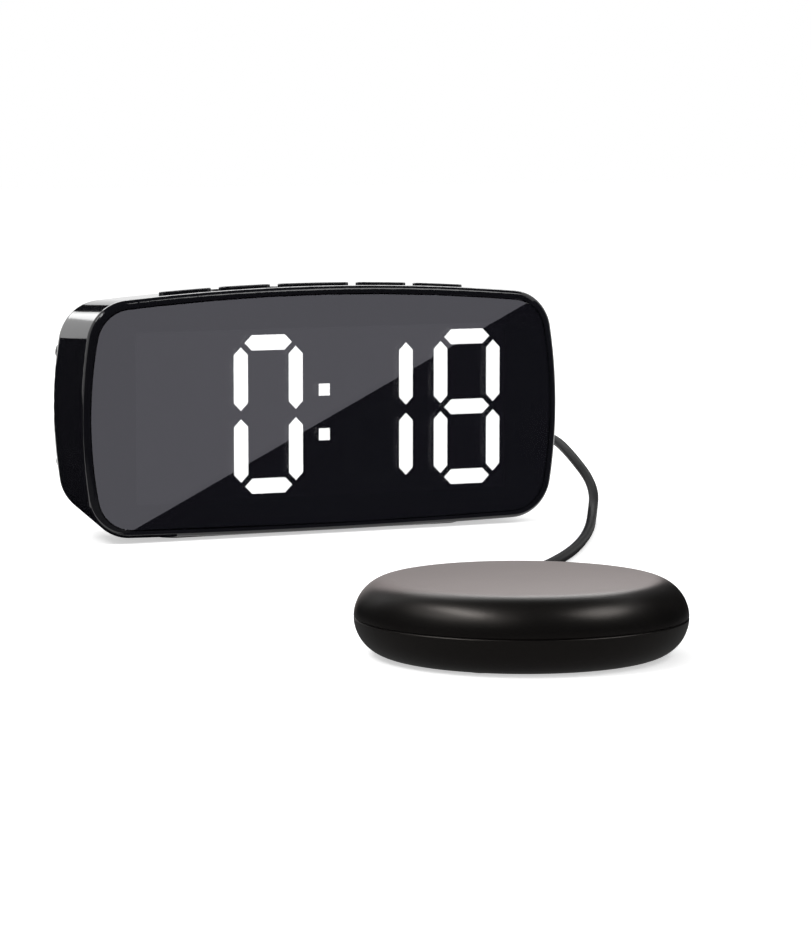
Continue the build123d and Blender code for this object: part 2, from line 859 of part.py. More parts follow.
# Screws of the three boards
with BuildPart() as board_screws:
    seats = []
    for place_x, place_z in board_screw_places:
        seats.append(Plane((place_x, board_back_y, place_z), x_dir=(1, 0, 0), z_dir=(0, 1, 0)))
    for side in (-1, 1):
        under_key_board = (side * key_boss_x, key_boss_y, key_board_bottom)
        seats.append(Plane(under_key_board, x_dir=(1, 0, 0), z_dir=(0, 0, -1)))
    seats.append(Plane((jack_boss_x, jack_board_front_y, socket_z), x_dir=(1, 0, 0), z_dir=(0, -1, 0)))
    for seat in seats:
        screw(seat, board_screw_radius, board_screw_length, board_head_radius, board_head_height)
save(board_screws, "board_screws")

# Screws that hold the rear cover
with BuildPart() as case_screws:
    for place_x, place_z in case_screw_places:
        seat = Plane((place_x, case_screw_seat_y, place_z), x_dir=(1, 0, 0), z_dir=(0, 1, 0))
        screw(seat, case_screw_radius, case_screw_length, case_head_radius, case_head_height)
save(case_screws, "case_screws")

# Rubber wedge that the clock stands on
with BuildPart() as base_pad:
    with BuildSketch():
        with Locations((0, pad_back - pad_depth / 2)):
            RectangleRounded(pad_width, pad_depth, pad_corner)
    extrude(amount=face_mid_z)
    add(case_body.part, mode=Mode.SUBTRACT)
save(base_pad, "base_pad")

# Shaker puck, built round its own axis
shaker_plane = Plane((shaker_x, shaker_y, 0))
rim_round = shaker_half_height
flat_radius = shaker_diameter / 2 - rim_round
crown_height = rim_round + shaker_crown
crown_radius = (crown_height**2 + flat_radius**2 - rim_round**2) / (2 * shaker_crown)
crown_lean = math.atan2(flat_radius, crown_radius - crown_height)


def puck_form(inset):
    """The puck's full form, drawn in by the inset."""
    rim = rim_round - inset
    join_x = flat_radius + rim * math.sin(crown_lean)
    join_z = shaker_half_height + rim * math.cos(crown_lean)
    crown_z = shaker_half_height + crown_height - inset
    half_lean = math.sin(crown_lean / 2) * (crown_radius - inset)
    half_z = crown_z - (crown_radius - inset) * (1 - math.cos(crown_lean / 2))
    with BuildPart() as form:
        with BuildSketch(Plane.XZ):
            with BuildLine():
                Line((0, crown_z), (0, inset))
                Line((0, inset), (flat_radius, inset))
                brow = (flat_radius + rim, shaker_half_height)
                ThreePointArc((flat_radius, inset), brow, (join_x, join_z))
                ThreePointArc((join_x, join_z), (half_lean, half_z), (0, crown_z))
            make_face()
        revolve(axis=Axis.Z)
    return form.part


puck_outside = puck_form(0.0)
puck_inside = puck_form(shell_wall)
shell_screw_places = [
    (across * shell_screw_circle / math.sqrt(2), along * shell_screw_circle / math.sqrt(2))
    for across in (-1, 1)
    for along in (-1, 1)
]
lip_radius = flat_radius + math.sqrt((rim_round - shell_wall) ** 2 - shell_lip**2) - lip_gap
lip_foot = shaker_half_height - 2 * shell_lip
relief_y = shaker_diameter / 2
flange_y = relief_y - shell_wall - relief_flange / 2
clamp_screw_y = motor_diameter / 2 + clamp_slack + clamp_thickness + clamp_pillar_radius + hole_gap
pad_top = shaker_half_height - motor_flat / 2
relief_axis = Plane((0, 0, shaker_half_height), x_dir=(1, 0, 0), z_dir=(0, 1, 0))

# The way that the strain relief takes through the shells
with BuildPart() as relief_way:
    with BuildSketch(relief_axis.offset(flange_y)):
        Circle(relief_flange_radius + relief_fit)
    extrude(amount=-2 * relief_flange)
    with BuildSketch(relief_axis.offset(flange_y)):
        Circle(relief_neck_radius + relief_fit)
    extrude(amount=relief_y)

with BuildPart() as shell_lip_ring:
    with BuildSketch(Plane.XY.offset(lip_foot)):
        Circle(lip_radius)
        Circle(lip_radius - shell_lip_wall, mode=Mode.SUBTRACT)
    extrude(amount=shaker_half_height + shell_lip - lip_foot)
    with Locations((0, relief_y, lip_foot)):
        Box(
            2 * (relief_flange_radius + shell_lip_wall),
            relief_y,
            relief_y,
            align=Align.CENTER,
            mode=Mode.SUBTRACT,
        )

with BuildPart() as lower_shell_form:
    add(puck_outside)
    with Locations((0, 0, shaker_half_height)):
        Cylinder(shaker_diameter, shaker_diameter, align=from_base, mode=Mode.SUBTRACT)
    chamfer(lower_shell_form.faces().sort_by(Axis.Z)[-1].edges(), seam_chamfer)
    add(puck_inside, mode=Mode.SUBTRACT)
    with BuildSketch():
        with Locations(*shell_screw_places):
            Circle(shell_boss_radius)
    extrude(amount=shell_split_z)
    with BuildSketch(Plane.XY.offset(shell_wall / 2)):
        with Locations((motor_pad_places[0], 0), (motor_pad_places[1], 0)):
            Rectangle(motor_pad_length, motor_flat)
    extrude(amount=pad_top - shell_wall / 2)
    with BuildSketch(Plane.XY.offset(shell_wall / 2)):
        with Locations((clamp_x, -clamp_screw_y), (clamp_x, clamp_screw_y)):
            Circle(clamp_pillar_radius)
    extrude(amount=clamp_ear_z - shell_wall / 2)
    with BuildSketch(Plane.XY.offset(clamp_ear_z)):
        with Locations((clamp_x, -clamp_screw_y), (clamp_x, clamp_screw_y)):
            Circle(clamp_screw_radius + pilot_gap)
    extrude(amount=-clamp_screw_length, mode=Mode.SUBTRACT)
    with BuildSketch():
        with Locations(*shell_screw_places):
            Circle(shell_head_radius + hole_gap)
    extrude(amount=shell_screw_seat, mode=Mode.SUBTRACT)
    with BuildSketch():
        with Locations(*shell_screw_places):
            Circle(shell_screw_radius + hole_gap)
    extrude(amount=shell_split_z, mode=Mode.SUBTRACT)
    add(shell_lip_ring.part)
    add(relief_way.part, mode=Mode.SUBTRACT)

with BuildPart() as upper_shell_form:
    add(puck_outside)
    with Locations((0, 0, shaker_half_height)):
        Cylinder(shaker_diameter, shaker_diameter, align=on_top, mode=Mode.SUBTRACT)
    chamfer(upper_shell_form.faces().sort_by(Axis.Z)[0].edges(), seam_chamfer)
    add(puck_inside, mode=Mode.SUBTRACT)
    with BuildSketch(Plane.XY.offset(shell_split_z)):
        with Locations(*shell_screw_places):
            Circle(shell_boss_radius)
    extrude(amount=2 * shaker_half_height - shell_wall / 2 - shell_split_z)
    with BuildSketch(Plane.XY.offset(shell_split_z)):
        with Locations(*shell_screw_places):
            Circle(shell_screw_radius + pilot_gap)
    extrude(amount=shell_screw_length - shell_screw_seat + hole_gap, mode=Mode.SUBTRACT)
    add(relief_way.part, mode=Mode.SUBTRACT)


def placed(form):
    """A finished form of the shaker, moved to the shaker's place."""
    with BuildPart() as piece:
        add(form.part.moved(shaker_plane.location))
    return piece


save(placed(lower_shell_form), "lower_shell")
save(placed(upper_shell_form), "upper_shell")

# Screws that hold the shells together
with BuildPart() as shell_screw_form:
    for place_x, place_y in shell_screw_places:
        seat = Plane((place_x, place_y, shell_screw_seat), x_dir=(1, 0, 0), z_dir=(0, 0, -1))
        screw(seat, shell_screw_radius, shell_screw_length, shell_head_radius, shell_head_height)
save(placed(shell_screw_form), "shell_screws")

# Flat-sided motor along X, with its end cap, shaft and eccentric weight
motor_end = motor_start + motor_length


def along_shaft(x):
    """The upright plane across the motor's axis, with Y to the right and its normal along X."""
    return Plane((x, 0, shaker_half_height), x_dir=(0, 1, 0), z_dir=(1, 0, 0))


with BuildPart() as motor_can_form:
    with BuildSketch(along_shaft(motor_start)):
        Circle(motor_diameter / 2)
        Rectangle(motor_diameter, motor_flat, mode=Mode.INTERSECT)
    extrude(amount=motor_length)
    with BuildSketch(along_shaft(motor_end)):
        Circle(shaft_radius + shaft_fit)
    extrude(amount=-shaft_inside - hole_gap, mode=Mode.SUBTRACT)
save(placed(motor_can_form), "motor_can")

with BuildPart() as end_cap_form:
    with BuildSketch(along_shaft(motor_start)):
        Circle(motor_diameter / 2 - seam_chamfer)
        Rectangle(motor_diameter, motor_flat - 2 * seam_chamfer, mode=Mode.INTERSECT)
    extrude(amount=-end_cap_length)
    chamfer(end_cap_form.faces().sort_by(Axis.X)[0].edges(), seam_chamfer)
save(placed(end_cap_form), "motor_end_cap")

with BuildPart() as shaft_form:
    with BuildSketch(along_shaft(motor_end + shaft_reach)):
        Circle(shaft_radius)
    extrude(amount=-shaft_reach - shaft_inside)
    chamfer(shaft_form.edges().group_by(Axis.X)[-1], shaft_fit * 4)
save(placed(shaft_form), "motor_shaft")

with BuildPart() as weight_form:
    with BuildSketch(along_shaft(motor_end + weight_gap)):
        Circle(weight_radius)
        with Locations((0, weight_radius)):
            Rectangle(2 * weight_radius, 2 * weight_radius, mode=Mode.SUBTRACT)
        Circle(weight_hub)
        Circle(shaft_radius, mode=Mode.SUBTRACT)
    extrude(amount=weight_width)
save(placed(weight_form), "eccentric_weight")

# Strap that holds the motor down, with its two screws
strap_inner = motor_diameter / 2 + clamp_slack
strap_outer = strap_inner + clamp_thickness
strap_flat = motor_flat + 2 * clamp_slack
ear_drop = shaker_half_height - clamp_ear_z

with BuildPart() as clamp_form:
    with BuildSketch(along_shaft(clamp_x - clamp_width / 2)):
        Circle(strap_outer)
        Rectangle(2 * strap_outer, strap_flat + 2 * clamp_thickness, mode=Mode.INTERSECT)
        with Locations((0, -ear_drop)):
            Rectangle(2 * strap_outer, strap_outer, align=(Align.CENTER, Align.MAX), mode=Mode.SUBTRACT)
        with Locations((0, -ear_drop)):
            Rectangle(2 * (strap_inner + clamp_ear), clamp_thickness, align=(Align.CENTER, Align.MIN))
        with BuildSketch(mode=Mode.PRIVATE) as can_room:
            Circle(strap_inner)
            Rectangle(2 * strap_inner, strap_flat, mode=Mode.INTERSECT)
        add(can_room.sketch, mode=Mode.SUBTRACT)
    extrude(amount=clamp_width)
    with BuildSketch(Plane.XY.offset(clamp_ear_z)):
        with Locations((clamp_x, -clamp_screw_y), (clamp_x, clamp_screw_y)):
            Circle(clamp_screw_radius + hole_gap)
    extrude(amount=clamp_thickness, mode=Mode.SUBTRACT)
save(placed(clamp_form), "motor_clamp")

with BuildPart() as clamp_screw_form:
    for place_y in (-clamp_screw_y, clamp_screw_y):
        seat = Plane((clamp_x, place_y, clamp_ear_z + clamp_thickness))
        screw(seat, clamp_screw_radius, clamp_screw_length, clamp_head_radius, clamp_head_height)
save(placed(clamp_screw_form), "clamp_screws")

# Strain relief: a flange inside the shells, a neck through them and a tapering sleeve outside
with BuildPart() as relief_form:
    with BuildSketch(relief_axis.offset(flange_y - relief_flange)):
        Circle(relief_flange_radius)
    extrude(amount=relief_flange)
    with BuildSketch(relief_axis.offset(flange_y)):
        Circle(relief_neck_radius)
    extrude(amount=relief_y - flange_y)
    with BuildSketch(relief_axis.offset(relief_y)):
        Circle(relief_base_radius)
    with BuildSketch(relief_axis.offset(relief_y + relief_length)):
        Circle(relief_tip_radius)
    loft()
save(placed(relief_form), "shaker_strain_relief")

# Two wires from the motor's end cap to the strain relief
lead_start = motor_start - end_cap_length
with BuildPart() as lead_form:
    for hand, turn, lane_y in zip((-1, 1), lead_turns, lead_lanes):
        with BuildLine() as lead_route:
            FilletPolyline(
                (lead_start, hand * lead_spacing / 2, lead_z),
                (lead_start - turn, hand * lead_spacing / 2, lead_z),
                (lead_start - turn, lane_y, lead_z),
                (hand * lead_exit_spacing / 2, lane_y, lead_z),
                (hand * lead_exit_spacing / 2, flange_y - relief_flange, lead_z),
                radius=2 * lead_diameter,
            )
        with BuildSketch(Plane(lead_route.wire() @ 0, z_dir=lead_route.wire() % 0)):
            RegularPolygon(lead_diameter / 2, lead_sides)
        sweep(path=lead_route.wire())
save(placed(lead_form), "motor_leads")

# Plug of the shaker's cord
with BuildPart() as plug_pin:
    with BuildSketch(at_depth(pin_start_y)):
        with Locations((shaker_socket_x, socket_z)):
            Circle(plug_pin_radius)
    extrude(amount=plug_pin_length)
    fillet(plug_pin.edges().group_by(Axis.Y)[0], plug_pin_radius / 2)
save(plug_pin, "plug_pin")

grip_end_y = pin_start_y + grip_length
sleeve_end_y = grip_end_y + grip_sleeve_length
with BuildPart() as plug_grip:
    with BuildSketch(at_depth(pin_start_y)):
        with Locations((shaker_socket_x, socket_z)):
            Circle(grip_radius)
    extrude(amount=-grip_length)
    chamfer(plug_grip.edges().group_by(Axis.Y)[0], grip_groove)
    fillet(plug_grip.edges().group_by(Axis.Y)[-1], grip_groove * 2)
    with BuildSketch(at_depth(grip_end_y)):
        with Locations((shaker_socket_x, socket_z)):
            Circle(grip_sleeve_radius)
    with BuildSketch(at_depth(sleeve_end_y)):
        with Locations((shaker_socket_x, socket_z)):
            Circle(relief_tip_radius)
    loft()
    for groove in range(grip_groove_count):
        groove_y = pin_start_y + grip_length * (groove + 1) / (grip_groove_count + 1)
        with BuildSketch(at_depth(groove_y)):
            with Locations((shaker_socket_x, socket_z)):
                Circle(grip_radius)
                Circle(grip_radius - grip_groove, mode=Mode.SUBTRACT)
        extrude(amount=2 * grip_groove, mode=Mode.SUBTRACT)
save(plug_grip, "plug_grip")


def run_radii(points):
    """Bend radii for a route: the arcs take a share of the shorter run on either side of each point."""
    radii = []
    for before, here, after in zip(points, points[1:], points[2:]):
        run_in = Vector(*here) - Vector(*before)
        run_out = Vector(*after) - Vector(*here)
        half_turn = math.radians(run_in.get_angle(run_out)) / 2
        radii.append(bend_share * min(run_in.length, run_out.length) / math.tan(half_turn))
    return radii


# The coil that the spare cord is wound into: where it is entered and left, and its radii
heading = math.radians(coil_heading)
ahead = Vector(math.cos(heading), math.sin(heading), 0)
aside = Vector(ahead.Y, -ahead.X, 0)
coil_low_z = coil_bottom + cord_diameter / 2
coil_high_z = coil_low_z + coil_pitch
coil_middle = Vector(coil_x, coil_y, 0)
half_pitch = coil_pitch / 2
cord_area = cord_sides / 2 * (cord_diameter / 2) ** 2 * math.sin(2 * math.pi / cord_sides)
winding = [coil_radius - half_pitch * turn for turn in range(coil_half_turns)]
core_radius = winding[-1] - core_step * half_pitch
up_winding = [core_radius] + [radius - half_pitch for radius in reversed(winding[:-1])]


def coil_place(turn, radius, height):
    """The place where a half turn starts, on one side of the coil or the other."""
    side = aside if turn % 2 == 0 else -aside
    return coil_middle + side * radius + Vector(0, 0, height)


def half_turn(turn, radius, next_radius, height):
    """One half turn of the winding, which leaves and arrives along the coil's heading."""
    start = coil_place(turn, radius, height)
    end = coil_place(turn + 1, next_radius, height)
    forward = ahead if turn % 2 == 0 else -ahead
    crest = (start + end) / 2 + forward * ((radius + next_radius) / 2)
    return ThreePointArc(start, crest, end)


coil_entry = coil_place(0, coil_radius, coil_low_z) - ahead * cord_diameter
coil_exit = coil_place(0, up_winding[-1], coil_high_z) + ahead * cord_diameter

with BuildPart() as cord_coil:
    with BuildLine() as coil_route:
        Line(coil_entry, coil_place(0, coil_radius, coil_low_z))
        for turn, (radius, next_radius) in enumerate(zip(winding, winding[1:] + [core_radius])):
            half_turn(turn, radius, next_radius, coil_low_z)
        climb_start = coil_place(coil_half_turns, core_radius, coil_low_z)
        climb_end = coil_place(coil_half_turns + 1, core_radius, coil_high_z)
        climb = climb_end - climb_start
        climb_heading = ahead if coil_half_turns % 2 == 0 else -ahead
        climb_middle = (climb_start + climb_end) / 2 + climb_heading * (climb.length / 2)
        TangentArc(climb_start, climb_middle, tangent=climb_heading)
        TangentArc(climb_middle, climb_end, tangent=climb)
        for turn, (radius, next_radius) in enumerate(zip(up_winding, up_winding[1:])):
            half_turn(coil_half_turns + 1 + turn, radius, next_radius, coil_high_z)
        Line(coil_place(0, up_winding[-1], coil_high_z), coil_exit)
    with BuildSketch(Plane(coil_entry, z_dir=ahead)):
        RegularPolygon(cord_diameter / 2, cord_sides)
    sweep(path=coil_route.wire())
save(cord_coil, "cord_coil")

# Least distance between turns, on points all along the winding
coil_wire = coil_route.wire()
coil_length = coil_wire.length
steps = int(coil_length / cord_diameter * 2)
trail = [coil_wire @ (step / steps) for step in range(steps + 1)]
neighbours = 8
self_gap = min(
    (trail[first] - trail[second]).length
    for first in range(len(trail))
    for second in range(first + neighbours, len(trail))
)
print("coil length", round(coil_length, 1), "self gap", round(self_gap - cord_diameter, 2))
print("coil volume share", round(cord_coil.part.volume / (coil_length * cord_area), 3))

# The cord from the plug down to the table, past the clock's right side and on to the coil
entry_run = coil_entry - ahead * coil_lead_in
run_points = [
    (shaker_socket_x, sleeve_end_y, socket_z),
    (shaker_socket_x, 66.5, socket_z),
    (65.0, 85.0, 29.0),
    (91.0, 86.0, 27.0),
    (109.0, 69.0, 23.5),
    (112.0, 44.0, 21.0),
    (105.0, 17.5, 18.0),
    (100.0, -10.0, 9.7),
    (90.0, -27.0, table_z),
    (72.5, -58.0, table_z),
    (54.5, -86.5, table_z),
    (36.5, -111.5, table_z),
    (13.0, -138.5, table_z),
    (-18.0, -152.0, table_z),
    tuple(entry_run),
    tuple(coil_entry),
]
tail_bend = coil_exit + ahead * tail_run
relief_tip_y = shaker_y + relief_y + relief_length
tail_points = [
    tuple(coil_exit),
    tuple(tail_bend),
    (shaker_x, relief_tip_y + tail_run, shaker_half_height),
    (shaker_x, relief_tip_y, shaker_half_height),
]

with BuildPart() as cord_run:
    with BuildLine() as run_route:
        FilletPolyline(*run_points, radius=run_radii(run_points))
    with BuildSketch(Plane(run_route.wire() @ 0, z_dir=run_route.wire() % 0)):
        RegularPolygon(cord_diameter / 2, cord_sides)
    sweep(path=run_route.wire())
save(cord_run, "cord_run")

with BuildPart() as cord_tail:
    with BuildLine() as tail_route:
        FilletPolyline(*tail_points, radius=run_radii(tail_points))
    with BuildSketch(Plane(tail_route.wire() @ 0, z_dir=tail_route.wire() % 0)):
        RegularPolygon(cord_diameter / 2, cord_sides)
    sweep(path=tail_route.wire())
save(cord_tail, "cord_tail")

for route, tube, points in ((run_route, cord_run, run_points), (tail_route, cord_tail, tail_points)):
    length = route.wire().length
    share = tube.part.volume / (length * cord_area)
    print("cord length", round(length, 1), "volume share", round(share, 3))
    print("bend radii", [round(radius, 1) for radius in run_radii(points)])

# Tie round the coil, on the side away from the cord's ends
tie_inner = core_radius - cord_diameter / 2 - tie_slack - tie_width**2 / (8 * core_radius)
tie_outer = winding[1] + cord_diameter / 2 + tie_slack
tie_low = coil_bottom - tie_slack
tie_high = coil_high_z + cord_diameter / 2 + tie_slack
tie_middle = coil_middle - aside * ((tie_inner + tie_outer) / 2) + Vector(0, 0, (tie_low + tie_high) / 2)

with BuildPart() as coil_tie:
    with BuildSketch(Plane(tie_middle, x_dir=-aside, z_dir=ahead)):
        RectangleRounded(
            tie_outer - tie_inner + 2 * tie_thickness,
            tie_high - tie_low + 2 * tie_thickness,
            cord_diameter / 3 + tie_thickness,
        )
        RectangleRounded(tie_outer - tie_inner, tie_high - tie_low, cord_diameter / 3, mode=Mode.SUBTRACT)
    extrude(amount=tie_width / 2, both=True)
save(coil_tie, "coil_tie")
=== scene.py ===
import json
import math

import bmesh
import bpy
from bpy.props import FloatProperty, FloatVectorProperty, IntProperty, PointerProperty
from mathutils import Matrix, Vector


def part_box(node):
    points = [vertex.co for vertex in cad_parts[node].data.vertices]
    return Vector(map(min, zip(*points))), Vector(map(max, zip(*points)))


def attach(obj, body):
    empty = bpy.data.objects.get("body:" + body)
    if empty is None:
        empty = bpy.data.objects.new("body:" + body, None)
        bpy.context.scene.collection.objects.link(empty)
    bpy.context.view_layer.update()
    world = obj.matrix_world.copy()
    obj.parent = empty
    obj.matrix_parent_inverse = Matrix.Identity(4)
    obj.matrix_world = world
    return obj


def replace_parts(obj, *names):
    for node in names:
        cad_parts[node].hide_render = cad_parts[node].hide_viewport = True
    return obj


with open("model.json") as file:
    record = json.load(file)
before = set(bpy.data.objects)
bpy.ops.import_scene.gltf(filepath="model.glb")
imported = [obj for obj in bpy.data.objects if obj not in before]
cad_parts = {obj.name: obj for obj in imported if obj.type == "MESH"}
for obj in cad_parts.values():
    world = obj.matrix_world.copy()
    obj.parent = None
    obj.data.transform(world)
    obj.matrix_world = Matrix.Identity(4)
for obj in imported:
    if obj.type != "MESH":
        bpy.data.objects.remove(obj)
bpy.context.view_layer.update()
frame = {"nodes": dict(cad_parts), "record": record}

bl_info = {
    "name": "Bed shaker alarm clock",
    "version": (1, 0, 0),
    "blender": (4, 5, 0),
    "location": "3D View > Sidebar > Shaker clock",
    "description": "Dresses a bedside clock with large digits and a vibrating puck on a cord",
    "category": "Object",
}

# Metres. The clock stands over the origin, its lens faces -Y, and the puck lies in front of it.
lens_low, lens_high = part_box("front_lens")
SLOTS = {part["node"]: part["material_slot"] for part in frame["record"]["subparts"]}

# The lens: corners closer than this are one, and so are faces that differ by less than this angle
MERGE_DISTANCE = 1e-6
FLAT_ANGLE = math.radians(1.0)
# The lens: how squarely its front faces look forward, and the facets of its polished edge
FRONT_SHARE = 0.99
EDGE_FACETS = 3

# The cord's facets along each span and round each quarter
SPAN_FACETS = 10
QUARTER_FACETS = 4
# The coil's core is tighter than the turn before it by this many half pitches
CORE_STEP = 1.5
# Straight lengths before the coil, in cord diameters, and after it
LEAD_IN_DIAMETERS = 5
LEAD_OUT = 0.010

# The cord from its plug, down behind the clock's right side and along the table to the coil
RUN_ROUTE = [
    (0.048, 0.044, 0.030),
    (0.048, 0.0665, 0.030),
    (0.065, 0.085, 0.029),
    (0.091, 0.086, 0.027),
    (0.109, 0.069, 0.0235),
    (0.112, 0.044, 0.021),
    (0.105, 0.0175, 0.018),
    (0.100, -0.010, 0.0097),
    (0.090, -0.027, 0.00165),
    (0.0725, -0.058, 0.00165),
    (0.0545, -0.0865, 0.00165),
    (0.0365, -0.1115, 0.00165),
    (0.013, -0.1385, 0.00165),
    (-0.018, -0.152, 0.00165),
]
# The cord's last stretch, into the puck's strain relief
TAIL_ROUTE = [
    (-0.0572, -0.2014, 0.0095),
    (-0.0572, -0.2114, 0.0095),
]

# The camera's sensor in millimetres, and how far the camera sees
SENSOR_LENGTH = 36.0
VIEW_RANGE = 50.0
# Half the floor's side, how strongly it glows where it is seen, and the strength of the studio's even light
FLOOR_HALF = 4.0
FLOOR_GLOW = 0.61
EVEN_LIGHT = 0.6
# Planes of the cards that the gloss surfaces mirror: on the floor, at the back, in front and overhead
FLAG_LIFT = 0.0002
BACK = 2.2
FRONT = -1.9
CEILING = 2.4
# The screen behind the puck: its front and back planes, its ends, and the foot and head of its brow
SCREEN_FRONT = -0.15
SCREEN_BACK = -0.149
SCREEN_LEFT = -0.08
SCREEN_RIGHT = 0.2
BROW_FOOT = 0.05
BROW_HEAD = 0.1
# The pane's glare: how far its screen and its flag stand off the lens, and how far the flag's edge runs on
GLARE_SCREEN_GAP = 0.0025
GLARE_FLAG_GAP = 0.0023
GLARE_OVERRUN = 0.02
# Corners of the lens within this distance of its front lie on its front
PLANE_SLACK = 1e-5
# The tones of the cards
TONES = {
    "flag_black": (0.003, 0.003, 0.004),
    "flag_grey": (0.125, 0.125, 0.125),
    "screen_warm": (0.62, 0.55, 0.54),
    "screen_bright": (1.4, 1.24, 1.22),
    "screen_pale": (0.81, 0.8, 0.91),
    "flag_smoky": (0.04, 0.04, 0.056),
}
# The studio lamps: where each stands, what it faces, its size, and its power in watts
SOFTBOXES = {
    "left_softbox": ((-0.617, -0.234, 0.76), (-0.06, -0.25, 0.0), (0.55, 0.3), 4.0),
    "right_softbox": ((0.424, -0.629, 0.74), (-0.06, -0.25, 0.0), (0.45, 0.3), 1.9),
    "top_softbox": ((0.35, 0.95, 0.7), (0.0, -0.1, 0.0), (1.2, 0.4), 5.0),
    "back_softbox": ((-0.2, 1.4, 0.6), (0.0, 0.0, 0.05), (0.5, 0.4), 1.5),
}

# Places of the Mix node's colour sockets
MIX_FACTOR, MIX_FIRST, MIX_SECOND, MIX_RESULT = 0, 6, 7, 2


class FinishSettings(bpy.types.PropertyGroup):
    """Colours and finishes of the clock and its puck."""

    casing_colour: FloatVectorProperty(
        name="Casing colour",
        description="Body colour of the gloss plastic",
        default=(0.005, 0.005, 0.0065),
        size=3,
        min=0.0,
        max=1.0,
        subtype="COLOR",
    )
    casing_roughness: FloatProperty(
        name="Casing roughness",
        description="Roughness of the polished mould",
        default=0.07,
        min=0.0,
        max=1.0,
        subtype="FACTOR",
    )
    lens_colour: FloatVectorProperty(
        name="Lens colour",
        description="Tint of the smoked lens",
        default=(0.003, 0.003, 0.004),
        size=3,
        min=0.0,
        max=1.0,
        subtype="COLOR",
    )
    lens_opacity: FloatProperty(
        name="Lens opacity",
        description="How much each face of the smoked lens holds back",
        default=0.75,
        min=0.0,
        max=1.0,
        subtype="FACTOR",
    )
    lens_index: FloatProperty(
        name="Lens index",
        description="Index of refraction that gives the lens its mirror coat",
        default=2.08,
        min=1.0,
        max=4.0,
    )
    lens_edge: FloatProperty(
        name="Lens edge",
        description="Width of the polished edge round the lens",
        default=0.0003,
        min=0.0,
        max=0.001,
        subtype="DISTANCE",
        unit="LENGTH",
    )
    digit_colour: FloatVectorProperty(
        name="Digit colour",
        description="Colour of the lit segments",
        default=(1.0, 1.0, 1.0),
        size=3,
        min=0.0,
        max=1.0,
        subtype="COLOR",
    )
    digit_glow: FloatProperty(
        name="Digit glow",
        description="Strength of the lit segments behind the lens",
        default=17.0,
        min=0.0,
        max=20.0,
    )
    puck_colour: FloatVectorProperty(
        name="Puck colour",
        description="Body colour of the satin puck",
        default=(0.0045, 0.0041, 0.004),
        size=3,
        min=0.0,
        max=1.0,
        subtype="COLOR",
    )
    puck_roughness: FloatProperty(
        name="Puck roughness",
        description="Roughness of the puck's spark-eroded skin",
        default=0.33,
        min=0.0,
        max=1.0,
        subtype="FACTOR",
    )
    cord_colour: FloatVectorProperty(
        name="Cord colour",
        description="Colour of the cord's jacket",
        default=(0.011, 0.011, 0.0115),
        size=3,
        min=0.0,
        max=1.0,
        subtype="COLOR",
    )


class CordSettings(bpy.types.PropertyGroup):
    """Sizes of the cord and of the coil that its spare length is wound into."""

    diameter: FloatProperty(
        name="Diameter",
        description="Outside diameter of the cord",
        default=0.0032,
        min=0.001,
        max=0.01,
        subtype="DISTANCE",
        unit="LENGTH",
    )
    length: FloatProperty(
        name="Length",
        description="Length from the plug to the puck",
        default=1.332,
        min=0.5,
        max=3.0,
        subtype="DISTANCE",
        unit="LENGTH",
    )
    coil_middle: FloatVectorProperty(
        name="Coil middle",
        description="Middle of the coil on the table",
        default=(-0.028, -0.188, 0.0),
        size=3,
        subtype="TRANSLATION",
        unit="LENGTH",
    )
    coil_heading: FloatProperty(
        name="Coil heading",
        description="Direction in which the cord enters the coil",
        default=math.radians(243.5),
        subtype="ANGLE",
        unit="ROTATION",
    )
    coil_radius: FloatProperty(
        name="Coil radius",
        description="Radius of the first half turn",
        default=0.026,
        min=0.01,
        max=0.1,
        subtype="DISTANCE",
        unit="LENGTH",
    )
    coil_pitch: FloatProperty(
        name="Coil pitch",
        description="Distance between neighbouring turns",
        default=0.0037,
        min=0.001,
        max=0.01,
        subtype="DISTANCE",
        unit="LENGTH",
    )
    coil_lift: FloatProperty(
        name="Coil lift",
        description="Height of the lower layer's middle line above the table",
        default=0.0022,
        min=0.0,
        max=0.01,
        subtype="DISTANCE",
        unit="LENGTH",
    )
    half_turns: IntProperty(
        name="Half turns",
        description="Half turns in each of the two layers",
        default=8,
        min=2,
        max=24,
    )
    half_turn_points: IntProperty(
        name="Points in a half turn",
        description="Control points of each half turn",
        default=8,
        min=6,
        max=24,
    )


class StageSettings(bpy.types.PropertyGroup):
    """The camera, the floor and the glare on the lens."""

    camera_place: FloatVectorProperty(
        name="Camera place",
        description="Where the camera stands",
        default=(-0.4633, -1.0678, 0.1377),
        size=3,
        subtype="TRANSLATION",
        unit="LENGTH",
    )
    camera_yaw: FloatProperty(
        name="Camera yaw",
        description="Turn of the view to the right of straight ahead",
        default=0.43738,
        subtype="ANGLE",
        unit="ROTATION",
    )
    camera_pitch: FloatProperty(
        name="Camera pitch",
        description="Fall of the view below level",
        default=0.10371,
        subtype="ANGLE",
        unit="ROTATION",
    )
    camera_lens: FloatProperty(
        name="Focal length",
        description="Focal length for a sensor 36 mm long",
        default=138.64,
        min=10.0,
        max=500.0,
        unit="CAMERA",
    )
    floor_colour: FloatVectorProperty(
        name="Floor colour",
        description="Colour of the floor",
        default=(0.85, 0.85, 0.85),
        size=3,
        min=0.0,
        max=1.0,
        subtype="COLOR",
    )
    glare_low: FloatVectorProperty(
        name="Glare, lower end",
        description="Place on the lens where the lower end of the glare's edge falls",
        default=(-0.06334, -0.01875, 0.00522),
        size=3,
        subtype="TRANSLATION",
        unit="LENGTH",
    )
    glare_high: FloatVectorProperty(
        name="Glare, upper end",
        description="Place on the lens where the upper end of the glare's edge falls",
        default=(0.07212, -0.01875, 0.07192),
        size=3,
        subtype="TRANSLATION",
        unit="LENGTH",
    )


